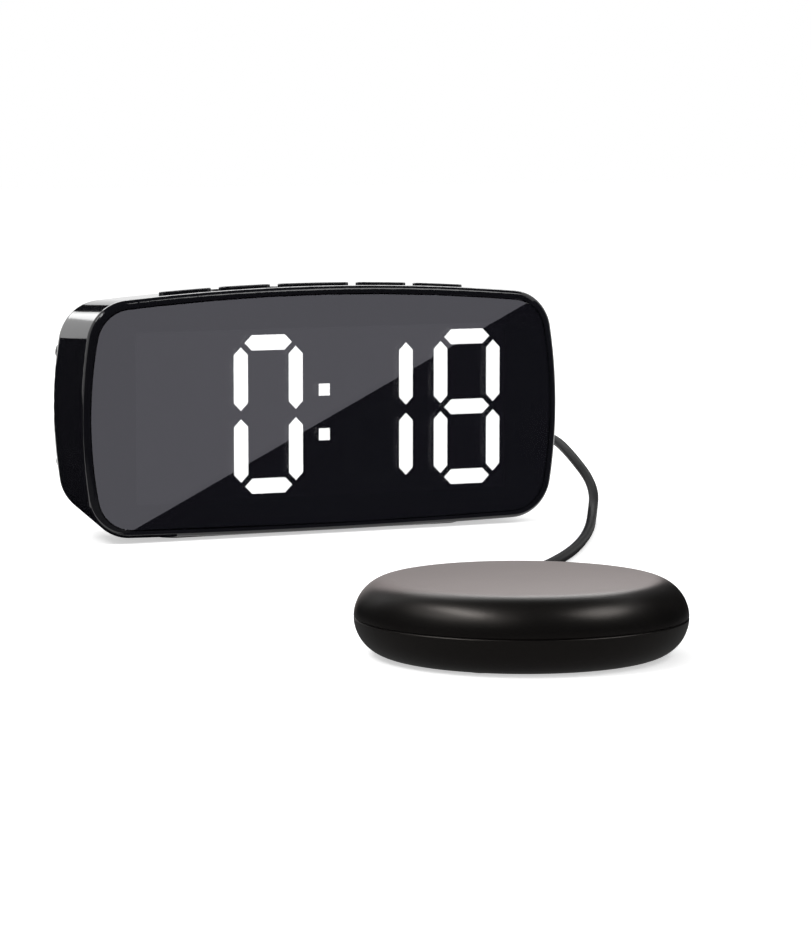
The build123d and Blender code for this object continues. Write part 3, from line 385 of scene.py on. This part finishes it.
def opaque(colour):
    """A colour with the full alpha that shader sockets ask for."""
    return (*colour, 1.0)


class Wire:
    """A shader socket in an expression: sums and products of wires add the Math nodes they need."""

    def __init__(self, finish, socket):
        self.finish = finish
        self.socket = socket

    def math(self, operation, first, second):
        return self.finish.node("ShaderNodeMath", {"operation": operation}, {0: first, 1: second})

    def __add__(self, other):
        return self.math("ADD", self, other)

    def __radd__(self, other):
        return self.math("ADD", other, self)

    def __sub__(self, other):
        return self.math("SUBTRACT", self, other)

    def __rsub__(self, other):
        return self.math("SUBTRACT", other, self)

    def __mul__(self, other):
        return self.math("MULTIPLY", self, other)

    def __rmul__(self, other):
        return self.math("MULTIPLY", other, self)


class Finish:
    """A node tree under construction, with one method that adds any node to it."""

    def __init__(self, tree):
        self.tree = tree
        self.tree.nodes.clear()

    def node(self, kind, settings=None, sockets=None, output=0):
        made = self.tree.nodes.new(kind)
        for name, value in (settings or {}).items():
            if name == "stops":
                for element, (position, shade) in zip(made.color_ramp.elements, value):
                    element.position = position
                    element.color = (shade, shade, shade, 1.0)
            else:
                setattr(made, name, value)
        for key, value in (sockets or {}).items():
            if isinstance(value, Wire):
                self.tree.links.new(value.socket, made.inputs[key])
            else:
                made.inputs[key].default_value = value
        return Wire(self, made.outputs[output] if made.outputs else None)

    def place(self, stretch=(1.0, 1.0, 1.0)):
        """The piece's own coordinates, stretched for a pattern."""
        here = self.node("ShaderNodeTexCoord", output="Object")
        return self.node("ShaderNodeMapping", sockets={"Vector": here, "Scale": stretch})

    def noise(self, scale, detail=2.0, stretch=(1.0, 1.0, 1.0)):
        """Even grain whose features are about one part in scale of a metre."""
        sockets = {"Vector": self.place(stretch), "Scale": scale, "Detail": detail}
        return self.node("ShaderNodeTexNoise", sockets=sockets)

    def step(self, amount, low, high):
        """Rises from 0 to 1 as the amount goes from low to high."""
        settings = {"stops": ((low, 0.0), (high, 1.0))}
        return self.node("ShaderNodeValToRGB", settings, {"Fac": amount})

    def blend(self, amount, first, second):
        """A colour that goes from the first to the second."""
        sockets = {MIX_FACTOR: amount, MIX_FIRST: opaque(first), MIX_SECOND: opaque(second)}
        return self.node("ShaderNodeMix", {"data_type": "RGBA"}, sockets, output=MIX_RESULT)

    def bump(self, height, strength, distance):
        sockets = {"Height": height, "Strength": strength, "Distance": distance}
        return self.node("ShaderNodeBump", sockets=sockets)

    def surface(self, **sockets):
        """Ends the tree in one Principled shader. Socket names are written with underscores."""
        named = {name.replace("_", " "): value for name, value in sockets.items()}
        shader = self.node("ShaderNodeBsdfPrincipled", sockets=named)
        self.node("ShaderNodeOutputMaterial", sockets={"Surface": shader})


def scaled(colour, share):
    """A colour made darker or lighter by a share."""
    return tuple(min(1.0, part * share) for part in colour)


def polished_plastic(finish, colour, roughness):
    """Gloss moulding: a polished skin with faint flow and wipe marks in its roughness."""
    flow = finish.noise(35.0, detail=3.0, stretch=(1.0, 1.0, 2.5))
    haze = finish.noise(420.0, detail=2.0)
    flow_depth, haze_depth = 0.03, 0.02
    finish.surface(
        Base_Color=finish.blend(flow, scaled(colour, 0.8), scaled(colour, 1.25)),
        Roughness=flow * flow_depth + haze * haze_depth + (roughness - (flow_depth + haze_depth) / 2),
        Normal=finish.bump(haze, strength=0.03, distance=0.0001),
        IOR=1.5,
    )


def moulded_plastic(finish, colour, roughness, grain=2600.0):
    """Satin moulding with the fine grain of a spark-eroded mould."""
    skin = finish.noise(grain, detail=3.0)
    cloud = finish.noise(45.0, detail=3.0)
    cloud_depth, skin_depth = 0.06, 0.05
    finish.surface(
        Base_Color=finish.blend(cloud, scaled(colour, 0.8), scaled(colour, 1.3)),
        Roughness=cloud * cloud_depth + skin * skin_depth + (roughness - (cloud_depth + skin_depth) / 2),
        Normal=finish.bump(skin, strength=0.12, distance=0.00008),
    )


def brushed_metal(finish, colour, roughness, stretch):
    """Plated metal with fine lines along one direction."""
    lines = finish.noise(900.0, detail=3.0, stretch=stretch)
    stain = finish.noise(60.0, detail=2.0)
    line_depth = 0.15
    finish.surface(
        Base_Color=finish.blend(stain, scaled(colour, 0.85), scaled(colour, 1.1)),
        Roughness=lines * line_depth + (roughness - line_depth / 3),
        Normal=finish.bump(lines, strength=0.15, distance=0.00005),
        Metallic=1.0,
    )


def gloss_black(finish, look):
    polished_plastic(finish, look.casing_colour, look.casing_roughness)


def button_black(finish, look):
    polished_plastic(finish, scaled(look.casing_colour, 1.3), look.casing_roughness + 0.05)


def smoked_mirror(finish, look):
    """Dark lens with a mirror coat, and the faint haze of a wiped pane."""
    haze = finish.noise(18.0, detail=3.0)
    finish.surface(
        Base_Color=finish.blend(haze, scaled(look.lens_colour, 0.8), scaled(look.lens_colour, 1.4)),
        Roughness=finish.step(haze, low=0.35, high=0.75) * 0.015 + 0.012,
        Alpha=look.lens_opacity,
        IOR=look.lens_index,
    )


def white_light(finish, look):
    """Lit diffuser, with a faint cloud in its light."""
    cloud = finish.noise(160.0, detail=1.0)
    finish.surface(
        Base_Color=finish.blend(cloud, (0.8, 0.8, 0.8), (0.9, 0.9, 0.9)),
        Roughness=cloud * 0.1 + 0.45,
        Emission_Color=finish.blend(cloud, scaled(look.digit_colour, 0.94), look.digit_colour),
        Emission_Strength=look.digit_glow,
    )


def dark_diffuser(finish, look):
    moulded_plastic(finish, (0.02, 0.02, 0.022), 0.5)


def reflector_black(finish, look):
    """Flat black that swallows the light beside the segments."""
    grain = finish.noise(1800.0, detail=3.0)
    finish.surface(
        Base_Color=finish.blend(grain, (0.0015, 0.0015, 0.0016), (0.003, 0.003, 0.0032)),
        Roughness=grain * 0.1 + 0.75,
        Specular_IOR_Level=0.05,
    )


def board_green(finish, look):
    """Solder mask over copper lanes, which show as paler lines."""
    waves = {"wave_type": "BANDS", "bands_direction": "DIAGONAL"}
    lanes = {"Vector": finish.place(), "Scale": 160.0, "Distortion": 6.0, "Detail": 1.0}
    wave = finish.node("ShaderNodeTexWave", waves, lanes, output="Fac")
    lane = finish.step(wave, low=0.55, high=0.62)
    finish.surface(
        Base_Color=finish.blend(lane, (0.012, 0.09, 0.035), (0.03, 0.2, 0.08)),
        Roughness=lane * 0.08 + 0.32,
        Normal=finish.bump(lane, strength=0.2, distance=0.00005),
    )


def led_white(finish, look):
    """Small lamps: a pale phosphor dome."""
    grain = finish.noise(1500.0, detail=2.0)
    finish.surface(
        Base_Color=finish.blend(grain, (0.78, 0.72, 0.45), (0.9, 0.86, 0.66)),
        Roughness=grain * 0.1 + 0.2,
    )


def chip_black(finish, look):
    moulded_plastic(finish, (0.018, 0.018, 0.019), 0.55, grain=4000.0)


def switch_black(finish, look):
    moulded_plastic(finish, (0.014, 0.014, 0.015), 0.42)


def plunger_grey(finish, look):
    moulded_plastic(finish, (0.26, 0.26, 0.27), 0.45)


def cell_steel(finish, look):
    brushed_metal(finish, (0.68, 0.68, 0.67), 0.24, stretch=(1.0, 4.0, 12.0))


def contact_nickel(finish, look):
    brushed_metal(finish, (0.72, 0.7, 0.65), 0.28, stretch=(10.0, 1.0, 1.0))


def frame_steel(finish, look):
    brushed_metal(finish, (0.52, 0.53, 0.54), 0.33, stretch=(1.0, 6.0, 1.0))


def shaft_steel(finish, look):
    brushed_metal(finish, (0.62, 0.62, 0.63), 0.2, stretch=(1.0, 8.0, 8.0))


def weight_brass(finish, look):
    brushed_metal(finish, (0.66, 0.47, 0.19), 0.3, stretch=(1.0, 9.0, 9.0))


def pin_brass(finish, look):
    brushed_metal(finish, (0.7, 0.62, 0.45), 0.22, stretch=(8.0, 1.0, 8.0))


def screw_steel(finish, look):
    brushed_metal(finish, (0.42, 0.42, 0.43), 0.34, stretch=(3.0, 3.0, 1.0))


def cone_paper(finish, look):
    """Pressed paper with loose fibres."""
    fibre = finish.noise(1100.0, detail=4.0, stretch=(1.0, 1.0, 5.0))
    finish.surface(
        Base_Color=finish.blend(fibre, (0.02, 0.02, 0.02), (0.06, 0.058, 0.055)),
        Roughness=fibre * 0.15 + 0.75,
        Normal=finish.bump(fibre, strength=0.4, distance=0.0001),
    )


def magnet_grey(finish, look):
    """Sintered ferrite with pits."""
    pit = finish.noise(1800.0, detail=4.0)
    finish.surface(
        Base_Color=finish.blend(pit, (0.05, 0.05, 0.052), (0.12, 0.12, 0.125)),
        Roughness=pit * 0.2 + 0.5,
        Normal=finish.bump(pit, strength=0.5, distance=0.0001),
    )


def pad_rubber(finish, look):
    """Soft rubber with a fine stipple."""
    sockets = {"Vector": finish.place(), "Scale": 1300.0}
    stipple = finish.node("ShaderNodeTexVoronoi", sockets=sockets)
    finish.surface(
        Base_Color=finish.blend(stipple, (0.02, 0.02, 0.021), (0.01, 0.01, 0.0105)),
        Roughness=stipple * 0.15 + 0.7,
        Normal=finish.bump(stipple, strength=0.5, distance=0.0002),
    )


def puck_satin_black(finish, look):
    """Satin skin with a fine even grain and a faint warm bloom."""
    skin = finish.noise(3200.0, detail=3.0)
    cloud = finish.noise(28.0, detail=3.0)
    cloud_depth, skin_depth = 0.05, 0.04
    mean_depth = (cloud_depth + skin_depth) / 2
    finish.surface(
        Base_Color=finish.blend(cloud, scaled(look.puck_colour, 0.85), scaled(look.puck_colour, 1.2)),
        Roughness=cloud * cloud_depth + skin * skin_depth + (look.puck_roughness - mean_depth),
        Normal=finish.bump(skin, strength=0.1, distance=0.00006),
        Specular_Tint=(1.0, 0.92, 0.86, 1.0),
    )


def cord_black(finish, look):
    """Extruded jacket, matt, with a fine drag grain."""
    drag = finish.noise(2200.0, detail=3.0)
    cloud = finish.noise(70.0, detail=2.0)
    finish.surface(
        Base_Color=finish.blend(cloud, scaled(look.cord_colour, 0.8), scaled(look.cord_colour, 1.4)),
        Roughness=cloud * 0.08 + drag * 0.06 + 0.36,
        Normal=finish.bump(drag, strength=0.15, distance=0.00006),
        Specular_IOR_Level=0.02,
    )


def lead_red(finish, look):
    moulded_plastic(finish, (0.45, 0.02, 0.02), 0.4)


def tie_black(finish, look):
    moulded_plastic(finish, (0.012, 0.012, 0.012), 0.5)


MAKERS = {
    maker.__name__: maker
    for maker in (
        gloss_black,
        button_black,
        smoked_mirror,
        white_light,
        dark_diffuser,
        reflector_black,
        board_green,
        led_white,
        chip_black,
        switch_black,
        plunger_grey,
        cell_steel,
        contact_nickel,
        frame_steel,
        shaft_steel,
        weight_brass,
        pin_brass,
        screw_steel,
        cone_paper,
        magnet_grey,
        pad_rubber,
        puck_satin_black,
        cord_black,
        lead_red,
        tie_black,
    )
}


def new_material(name):
    """An empty material, and the tree that its finish is built in."""
    material = bpy.data.materials.new(name)
    material.use_nodes = True
    return material, Finish(material.node_tree)


def finish_for(slot):
    """The material of a slot, made the first time that a piece asks for it."""
    name = f"{slot}_finish"
    material = bpy.data.materials.get(name)
    if material is None:
        material, finish = new_material(name)
        MAKERS[slot](finish, bpy.context.scene.clock_finish)
    return material


def dress(*nodes):
    """Gives each of these solids the finish of its slot."""
    for node in nodes:
        materials = frame["nodes"][node].data.materials
        materials.clear()
        materials.append(finish_for(SLOTS[node]))


def new_piece(name, shape, slot):
    """Adds a finished mesh or curve to the scene as a piece that rides on the clock."""
    piece = bpy.data.objects.new(name, shape)
    bpy.context.scene.collection.objects.link(piece)
    shape.materials.append(finish_for(slot))
    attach(piece, "clock")
    return piece


class CLOCK_OT_casing(bpy.types.Operator):
    """Dress the gloss casing, its rear cover, battery door, screws and pad"""

    bl_idname = "shaker_clock.casing"
    bl_label = "Casing"

    def execute(self, context):
        dress("front_case", "rear_cover", "battery_door", "case_screws", "base_pad")
        return {"FINISHED"}


class CLOCK_OT_lens(bpy.types.Operator):
    """Make the smoked lens with a polished edge"""

    bl_idname = "shaker_clock.lens"
    bl_label = "Lens"

    def execute(self, context):
        shape = bmesh.new()
        shape.from_mesh(frame["nodes"]["front_lens"].data)
        bmesh.ops.remove_doubles(shape, verts=shape.verts, dist=MERGE_DISTANCE)
        bmesh.ops.dissolve_limit(shape, angle_limit=FLAT_ANGLE, verts=shape.verts, edges=shape.edges)
        shape.normal_update()
        front = [face for face in shape.faces if face.normal.y < -FRONT_SHARE]
        if not front:
            shape.free()
            raise RuntimeError("the lens has no front face")
        outline = [edge for face in front for edge in face.edges]
        bmesh.ops.bevel(
            shape,
            geom=outline,
            offset=context.scene.clock_finish.lens_edge,
            affect="EDGES",
            segments=EDGE_FACETS,
            profile=0.5,
            material=-1,
        )
        mesh = bpy.data.meshes.new("smoked_lens")
        shape.to_mesh(mesh)
        shape.free()
        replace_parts(new_piece("smoked_lens", mesh, "smoked_mirror"), "front_lens")
        return {"FINISHED"}


class CLOCK_OT_digits(bpy.types.Operator):
    """Dress the lit and unlit segments, the reflector that holds them and the lamps behind them"""

    bl_idname = "shaker_clock.digits"
    bl_label = "Digits"

    def execute(self, context):
        dress("lit_segments", "dark_segments", "digit_reflector", "digit_leds")
        return {"FINISHED"}


class CLOCK_OT_buttons(bpy.types.Operator):
    """Dress the five top buttons and the plungers of their switches"""

    bl_idname = "shaker_clock.buttons"
    bl_label = "Buttons"

    def execute(self, context):
        for key in ("time", "alarm", "snooze", "down", "up"):
            dress(f"{key}_button", f"{key}_plunger")
        return {"FINISHED"}


class CLOCK_OT_boards(bpy.types.Operator):
    """Dress the circuit boards and what is soldered and screwed to them"""

    bl_idname = "shaker_clock.boards"
    bl_label = "Boards"

    def execute(self, context):
        dress("main_board", "key_board", "jack_board")
        dress("controller_chip", "switch_bodies", "board_screws")
        return {"FINISHED"}


class CLOCK_OT_rear_fittings(bpy.types.Operator):
    """Dress the speaker, the coin cell with its contacts, and the two sockets"""

    bl_idname = "shaker_clock.rear_fittings"
    bl_label = "Rear fittings"

    def execute(self, context):
        dress("speaker_frame", "speaker_cone", "speaker_magnet")
        dress("coin_cell", "cell_spring_contact", "cell_side_contact")
        dress("dc_socket", "shaker_socket")
        return {"FINISHED"}


class CLOCK_OT_shaker(bpy.types.Operator):
    """Dress the vibrating puck and the motor inside it"""

    bl_idname = "shaker_clock.shaker"
    bl_label = "Shaker"

    def execute(self, context):
        dress("lower_shell", "upper_shell", "shell_screws", "shaker_strain_relief")
        dress("motor_can", "motor_end_cap", "motor_clamp", "clamp_screws", "motor_leads")
        dress("motor_shaft", "eccentric_weight")
        return {"FINISHED"}


def half_turn_points(middle, side, forward, radius, rise, count):
    """Control points of half a turn, set out so that the smooth line runs at the radius."""
    step = math.pi / count
    reach = radius / math.cos(step / 2)
    points = []
    for index in range(count):
        angle = (index + 0.5) * step
        lift = Vector((0.0, 0.0, rise * (index + 0.5) / count))
        points.append(middle + side * reach * math.cos(angle) + forward * reach * math.sin(angle) + lift)
    return points


def coil_route(cord):
    """Control points of the coil: in from the outside, up one layer, and out again."""
    ahead = Vector((math.cos(cord.coil_heading), math.sin(cord.coil_heading), 0.0))
    aside = Vector((ahead.y, -ahead.x, 0.0))
    half_pitch = cord.coil_pitch / 2
    inward = [cord.coil_radius - half_pitch * turn for turn in range(cord.half_turns)]
    core = inward[-1] - CORE_STEP * half_pitch
    outward = [core] + [radius - half_pitch for radius in reversed(inward[:-1])]
    radii = inward + [core] + outward
    layer = Vector((0.0, 0.0, cord.coil_lift))
    rise = Vector((0.0, 0.0, cord.coil_pitch))
    middle = Vector(cord.coil_middle) + layer
    lead_in = middle + aside * radii[0] - ahead * cord.diameter
    points = [lead_in - ahead * cord.diameter * LEAD_IN_DIAMETERS, lead_in]
    for turn, (radius, next_radius) in enumerate(zip(radii, radii[1:])):
        hand = 1 if turn % 2 == 0 else -1
        centre = middle + aside * hand * (radius - next_radius) / 2
        climbs = turn == cord.half_turns
        points += half_turn_points(
            centre,
            aside * hand,
            ahead * hand,
            (radius + next_radius) / 2,
            rise.z if climbs else 0.0,
            cord.half_turn_points,
        )
        if climbs:
            middle = middle + rise
    lead_out = middle + aside * radii[-1] + ahead * cord.diameter
    return points + [lead_out, lead_out + ahead * LEAD_OUT]


class CLOCK_OT_cord(bpy.types.Operator):
    """Lay the cord from its plug, round the clock and through the coil to the puck"""

    bl_idname = "shaker_clock.cord"
    bl_label = "Cord"

    def execute(self, context):
        cord = context.scene.clock_cord
        route = [Vector(place) for place in RUN_ROUTE] + coil_route(cord)
        route += [Vector(place) for place in TAIL_ROUTE]
        curve = bpy.data.curves.new("shaker_cord", "CURVE")
        curve.dimensions = "3D"
        curve.resolution_u = SPAN_FACETS
        curve.render_resolution_u = SPAN_FACETS
        curve.bevel_depth = cord.diameter / 2
        curve.bevel_resolution = QUARTER_FACETS
        curve.use_fill_caps = True
        spline = curve.splines.new("NURBS")
        spline.points.add(len(route) - 1)
        for point, place in zip(spline.points, route):
            point.co = (*place, 1.0)
        spline.order_u = 3
        spline.use_endpoint_u = True
        piece = new_piece("shaker_cord", curve, "cord_black")
        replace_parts(piece, "cord_run", "cord_coil", "cord_tail")
        dress("plug_pin", "plug_grip", "coil_tie")
        return {"FINISHED"}


def seen(finish):
    """One for what the camera sees, directly, mirrored or through glass."""
    rays = ("Is Camera Ray", "Is Glossy Ray", "Is Transmission Ray")
    direct, mirrored, through = (finish.node("ShaderNodeLightPath", output=ray) for ray in rays)
    total = direct + mirrored + through
    return total.math("MINIMUM", total, 1.0)


def floor_material(colour):
    """Matt floor that also glows where the camera sees it or its reflection, so that it reads as white."""
    material, finish = new_material("floor_white")
    shade = opaque(colour)
    matt = finish.node("ShaderNodeBsdfDiffuse", sockets={"Color": shade})
    light = finish.node("ShaderNodeEmission", sockets={"Color": shade, "Strength": FLOOR_GLOW})
    bright = finish.node("ShaderNodeAddShader", sockets={0: matt, 1: light})
    mixed = finish.node("ShaderNodeMixShader", sockets={0: seen(finish), 1: matt, 2: bright})
    finish.node("ShaderNodeOutputMaterial", sockets={"Surface": mixed})
    return material


def card_material(name):
    """An even tone that no lamp changes."""
    material, finish = new_material(name)
    tone = finish.node("ShaderNodeEmission", sockets={"Color": opaque(TONES[name]), "Strength": 1.0})
    finish.node("ShaderNodeOutputMaterial", sockets={"Surface": tone})
    return material


def stage_card(name, corners, material):
    """A flat stage card with these corners."""
    shape = bmesh.new()
    shape.faces.new([shape.verts.new(corner) for corner in corners])
    mesh = bpy.data.meshes.new(name)
    shape.to_mesh(mesh)
    shape.free()
    mesh.materials.append(material)
    card = bpy.data.objects.new(name, mesh)
    bpy.context.scene.collection.objects.link(card)
    return card


def mirror_card(name, corners, material):
    """A stage card that shows only in what the gloss surfaces mirror."""
    card = stage_card(name, corners, material)
    card.visible_camera = False
    card.visible_diffuse = False
    card.visible_shadow = False
    card.visible_transmission = False


def upright(start, end, foot, head):
    """Corners of a card that stands over the line from start to end."""
    return [(*start, foot), (*end, foot), (*end, head), (*start, head)]


def level(near, far, height):
    """Corners of a card that lies flat between two opposite corners."""
    return [(x, y, height) for x, y in (near, (far[0], near[1]), far, (near[0], far[1]))]


def studio_cards():
    """Name, tone and corners of each card, apart from the two that make the pane's glare."""
    corner = ((-0.1, -0.02), (-0.05, -0.02), (-0.05, 0.07), (-0.1, 0.2))
    sloping = [(-0.22, -0.55, 0.0), (-0.18, -0.03, 0.0), (-0.18, -0.03, 0.24), (-0.22, -0.55, 0.1)]
    left, right = (SCREEN_LEFT, SCREEN_FRONT), (SCREEN_RIGHT, SCREEN_FRONT)
    left_back, right_back = (SCREEN_LEFT, SCREEN_BACK), (SCREEN_RIGHT, SCREEN_BACK)
    return (
        ("front_floor_flag", "flag_grey", level((-0.6, FRONT), (0.8, -0.025), FLAG_LIFT)),
        ("side_floor_flag", "flag_black", level((-1.6, 0.0), (-0.1, BACK), FLAG_LIFT)),
        ("corner_floor_flag", "flag_black", [(x, y, FLAG_LIFT) for x, y in corner]),
        ("side_flag", "flag_black", upright((-1.6, BACK), (-0.35, BACK), 0.0, 0.19)),
        ("corner_flag", "flag_black", upright((0.02, BACK), (0.44, BACK), 0.42, 1.0)),
        ("back_flag", "flag_black", upright((0.85, BACK), (2.2, BACK), 0.0, 0.8)),
        ("front_flag", "flag_black", upright((-1.6, FRONT), (1.7, FRONT), 0.0, CEILING)),
        ("overhead_flag", "flag_black", level((-1.2, FRONT), (2.0, 1.5), CEILING)),
        ("puck_left_flag", "flag_black", sloping),
        ("puck_back_flag", "flag_black", upright((-0.3, SCREEN_FRONT), left, 0.0, 0.2)),
        ("puck_right_flag", "flag_black", upright((0.09, -0.45), (0.06, -0.16), 0.0, 0.14)),
        ("puck_screen", "screen_warm", upright(left, right, 0.0, BROW_FOOT)),
        ("puck_brow_screen", "screen_bright", upright(left, right, BROW_FOOT, BROW_HEAD)),
        ("puck_screen_back", "flag_black", upright(left_back, right_back, 0.0, BROW_HEAD)),
    )


def softbox(name, place, target, size, energy):
    """A studio lamp that faces its target."""
    lamp = bpy.data.lights.new(name, "AREA")
    lamp.shape = "RECTANGLE"
    lamp.size, lamp.size_y = size
    lamp.energy = energy
    holder = bpy.data.objects.new(name, lamp)
    holder.location = place
    holder.rotation_euler = (Vector(target) - Vector(place)).to_track_quat("-Z", "Y").to_euler()
    bpy.context.scene.collection.objects.link(holder)


def mirrored_place(eye, lens_place, depth):
    """Where the camera looks in the plane at this depth when it looks at this place on the lens."""
    behind = Vector((eye.x, 2 * lens_low.y - eye.y, eye.z))
    ray = Vector(lens_place) - behind
    return behind + ray * ((depth - behind.y) / ray.y)


def add_glare(stage, pale, smoky):
    """The pane's glare: a pale screen of the lens's own outline, with a dark flag over its lower corner."""
    eye = Vector(stage.camera_place)
    corners = [vertex.co for vertex in frame["nodes"]["front_lens"].data.vertices]
    outline = [place for place in corners if place.y < lens_low.y + PLANE_SLACK]
    middle = (lens_low + lens_high) / 2
    outline.sort(key=lambda place: math.atan2(place.z - middle.z, place.x - middle.x))
    screen_depth = lens_low.y - GLARE_SCREEN_GAP
    mirror_card("lens_screen", [mirrored_place(eye, place, screen_depth) for place in outline], pale)
    flag_depth = lens_low.y - GLARE_FLAG_GAP
    low = mirrored_place(eye, stage.glare_low, flag_depth)
    high = mirrored_place(eye, stage.glare_high, flag_depth)
    overrun = (high - low).normalized() * GLARE_OVERRUN
    low = low - overrun
    high = high + overrun
    mirror_card("lens_flag", [low, Vector((high.x, high.y, low.z)), high], smoky)


def set_camera(scene, stage):
    """Stands the camera where the view was taken from."""
    camera = bpy.data.cameras.new("camera")
    camera.lens = stage.camera_lens
    camera.sensor_width = SENSOR_LENGTH
    camera.clip_end = VIEW_RANGE
    holder = bpy.data.objects.new("camera", camera)
    holder.location = stage.camera_place
    holder.rotation_euler = (math.pi / 2 - stage.camera_pitch, 0.0, -stage.camera_yaw)
    scene.collection.objects.link(holder)
    scene.camera = holder


def set_world(scene):
    """An even light all round, which is white where the camera sees it."""
    world = bpy.data.worlds.new("studio")
    world.use_nodes = True
    scene.world = world
    finish = Finish(world.node_tree)
    white = opaque((1.0, 1.0, 1.0))
    even = finish.node("ShaderNodeBackground", sockets={"Color": white, "Strength": EVEN_LIGHT})
    full = finish.node("ShaderNodeBackground", sockets={"Color": white, "Strength": 1.0})
    sky = finish.node("ShaderNodeMixShader", sockets={0: seen(finish), 1: even, 2: full})
    finish.node("ShaderNodeOutputWorld", sockets={"Surface": sky})


class CLOCK_OT_stage(bpy.types.Operator):
    """Set up the camera, the white floor, the lamps and the cards that the gloss surfaces mirror"""

    bl_idname = "shaker_clock.stage"
    bl_label = "Stage"

    def execute(self, context):
        scene = context.scene
        stage = scene.clock_stage
        scene.view_settings.view_transform = "Standard"
        set_camera(scene, stage)
        floor = level((-FLOOR_HALF, -FLOOR_HALF), (FLOOR_HALF, FLOOR_HALF), 0.0)
        stage_card("floor", floor, floor_material(stage.floor_colour))
        tones = {name: card_material(name) for name in TONES}
        for name, tone, corners in studio_cards():
            mirror_card(name, corners, tones[tone])
        add_glare(stage, tones["screen_pale"], tones["flag_smoky"])
        for name, setup in SOFTBOXES.items():
            softbox(name, *setup)
        set_world(scene)
        return {"FINISHED"}


class CLOCK_PT_build(bpy.types.Panel):
    """Lists the steps and the settings of the clock"""

    bl_idname = "CLOCK_PT_build"
    bl_label = "Bed shaker clock"
    bl_space_type = "VIEW_3D"
    bl_region_type = "UI"
    bl_category = "Shaker clock"

    def draw(self, context):
        scene = context.scene
        for settings in (scene.clock_finish, scene.clock_cord, scene.clock_stage):
            box = self.layout.box()
            for name in settings.__annotations__:
                box.prop(settings, name)
        for step in STEPS:
            self.layout.operator(step.bl_idname)


STEPS = (
    CLOCK_OT_stage,
    CLOCK_OT_cord,
    CLOCK_OT_casing,
    CLOCK_OT_lens,
    CLOCK_OT_digits,
    CLOCK_OT_buttons,
    CLOCK_OT_boards,
    CLOCK_OT_rear_fittings,
    CLOCK_OT_shaker,
)
CLASSES = (FinishSettings, CordSettings, StageSettings) + STEPS + (CLOCK_PT_build,)


def register():
    for cls in CLASSES:
        bpy.utils.register_class(cls)
    bpy.types.Scene.clock_finish = PointerProperty(type=FinishSettings)
    bpy.types.Scene.clock_cord = PointerProperty(type=CordSettings)
    bpy.types.Scene.clock_stage = PointerProperty(type=StageSettings)


def unregister():
    del bpy.types.Scene.clock_stage
    del bpy.types.Scene.clock_cord
    del bpy.types.Scene.clock_finish
    for cls in reversed(CLASSES):
        bpy.utils.unregister_class(cls)


def main():
    register()
    bpy.ops.shaker_clock.stage()
    bpy.ops.shaker_clock.cord()
    bpy.ops.shaker_clock.casing()
    bpy.ops.shaker_clock.lens()
    bpy.ops.shaker_clock.digits()
    bpy.ops.shaker_clock.buttons()
    bpy.ops.shaker_clock.boards()
    bpy.ops.shaker_clock.rear_fittings()
    bpy.ops.shaker_clock.shaker()


if __name__ == "__main__":
    main()
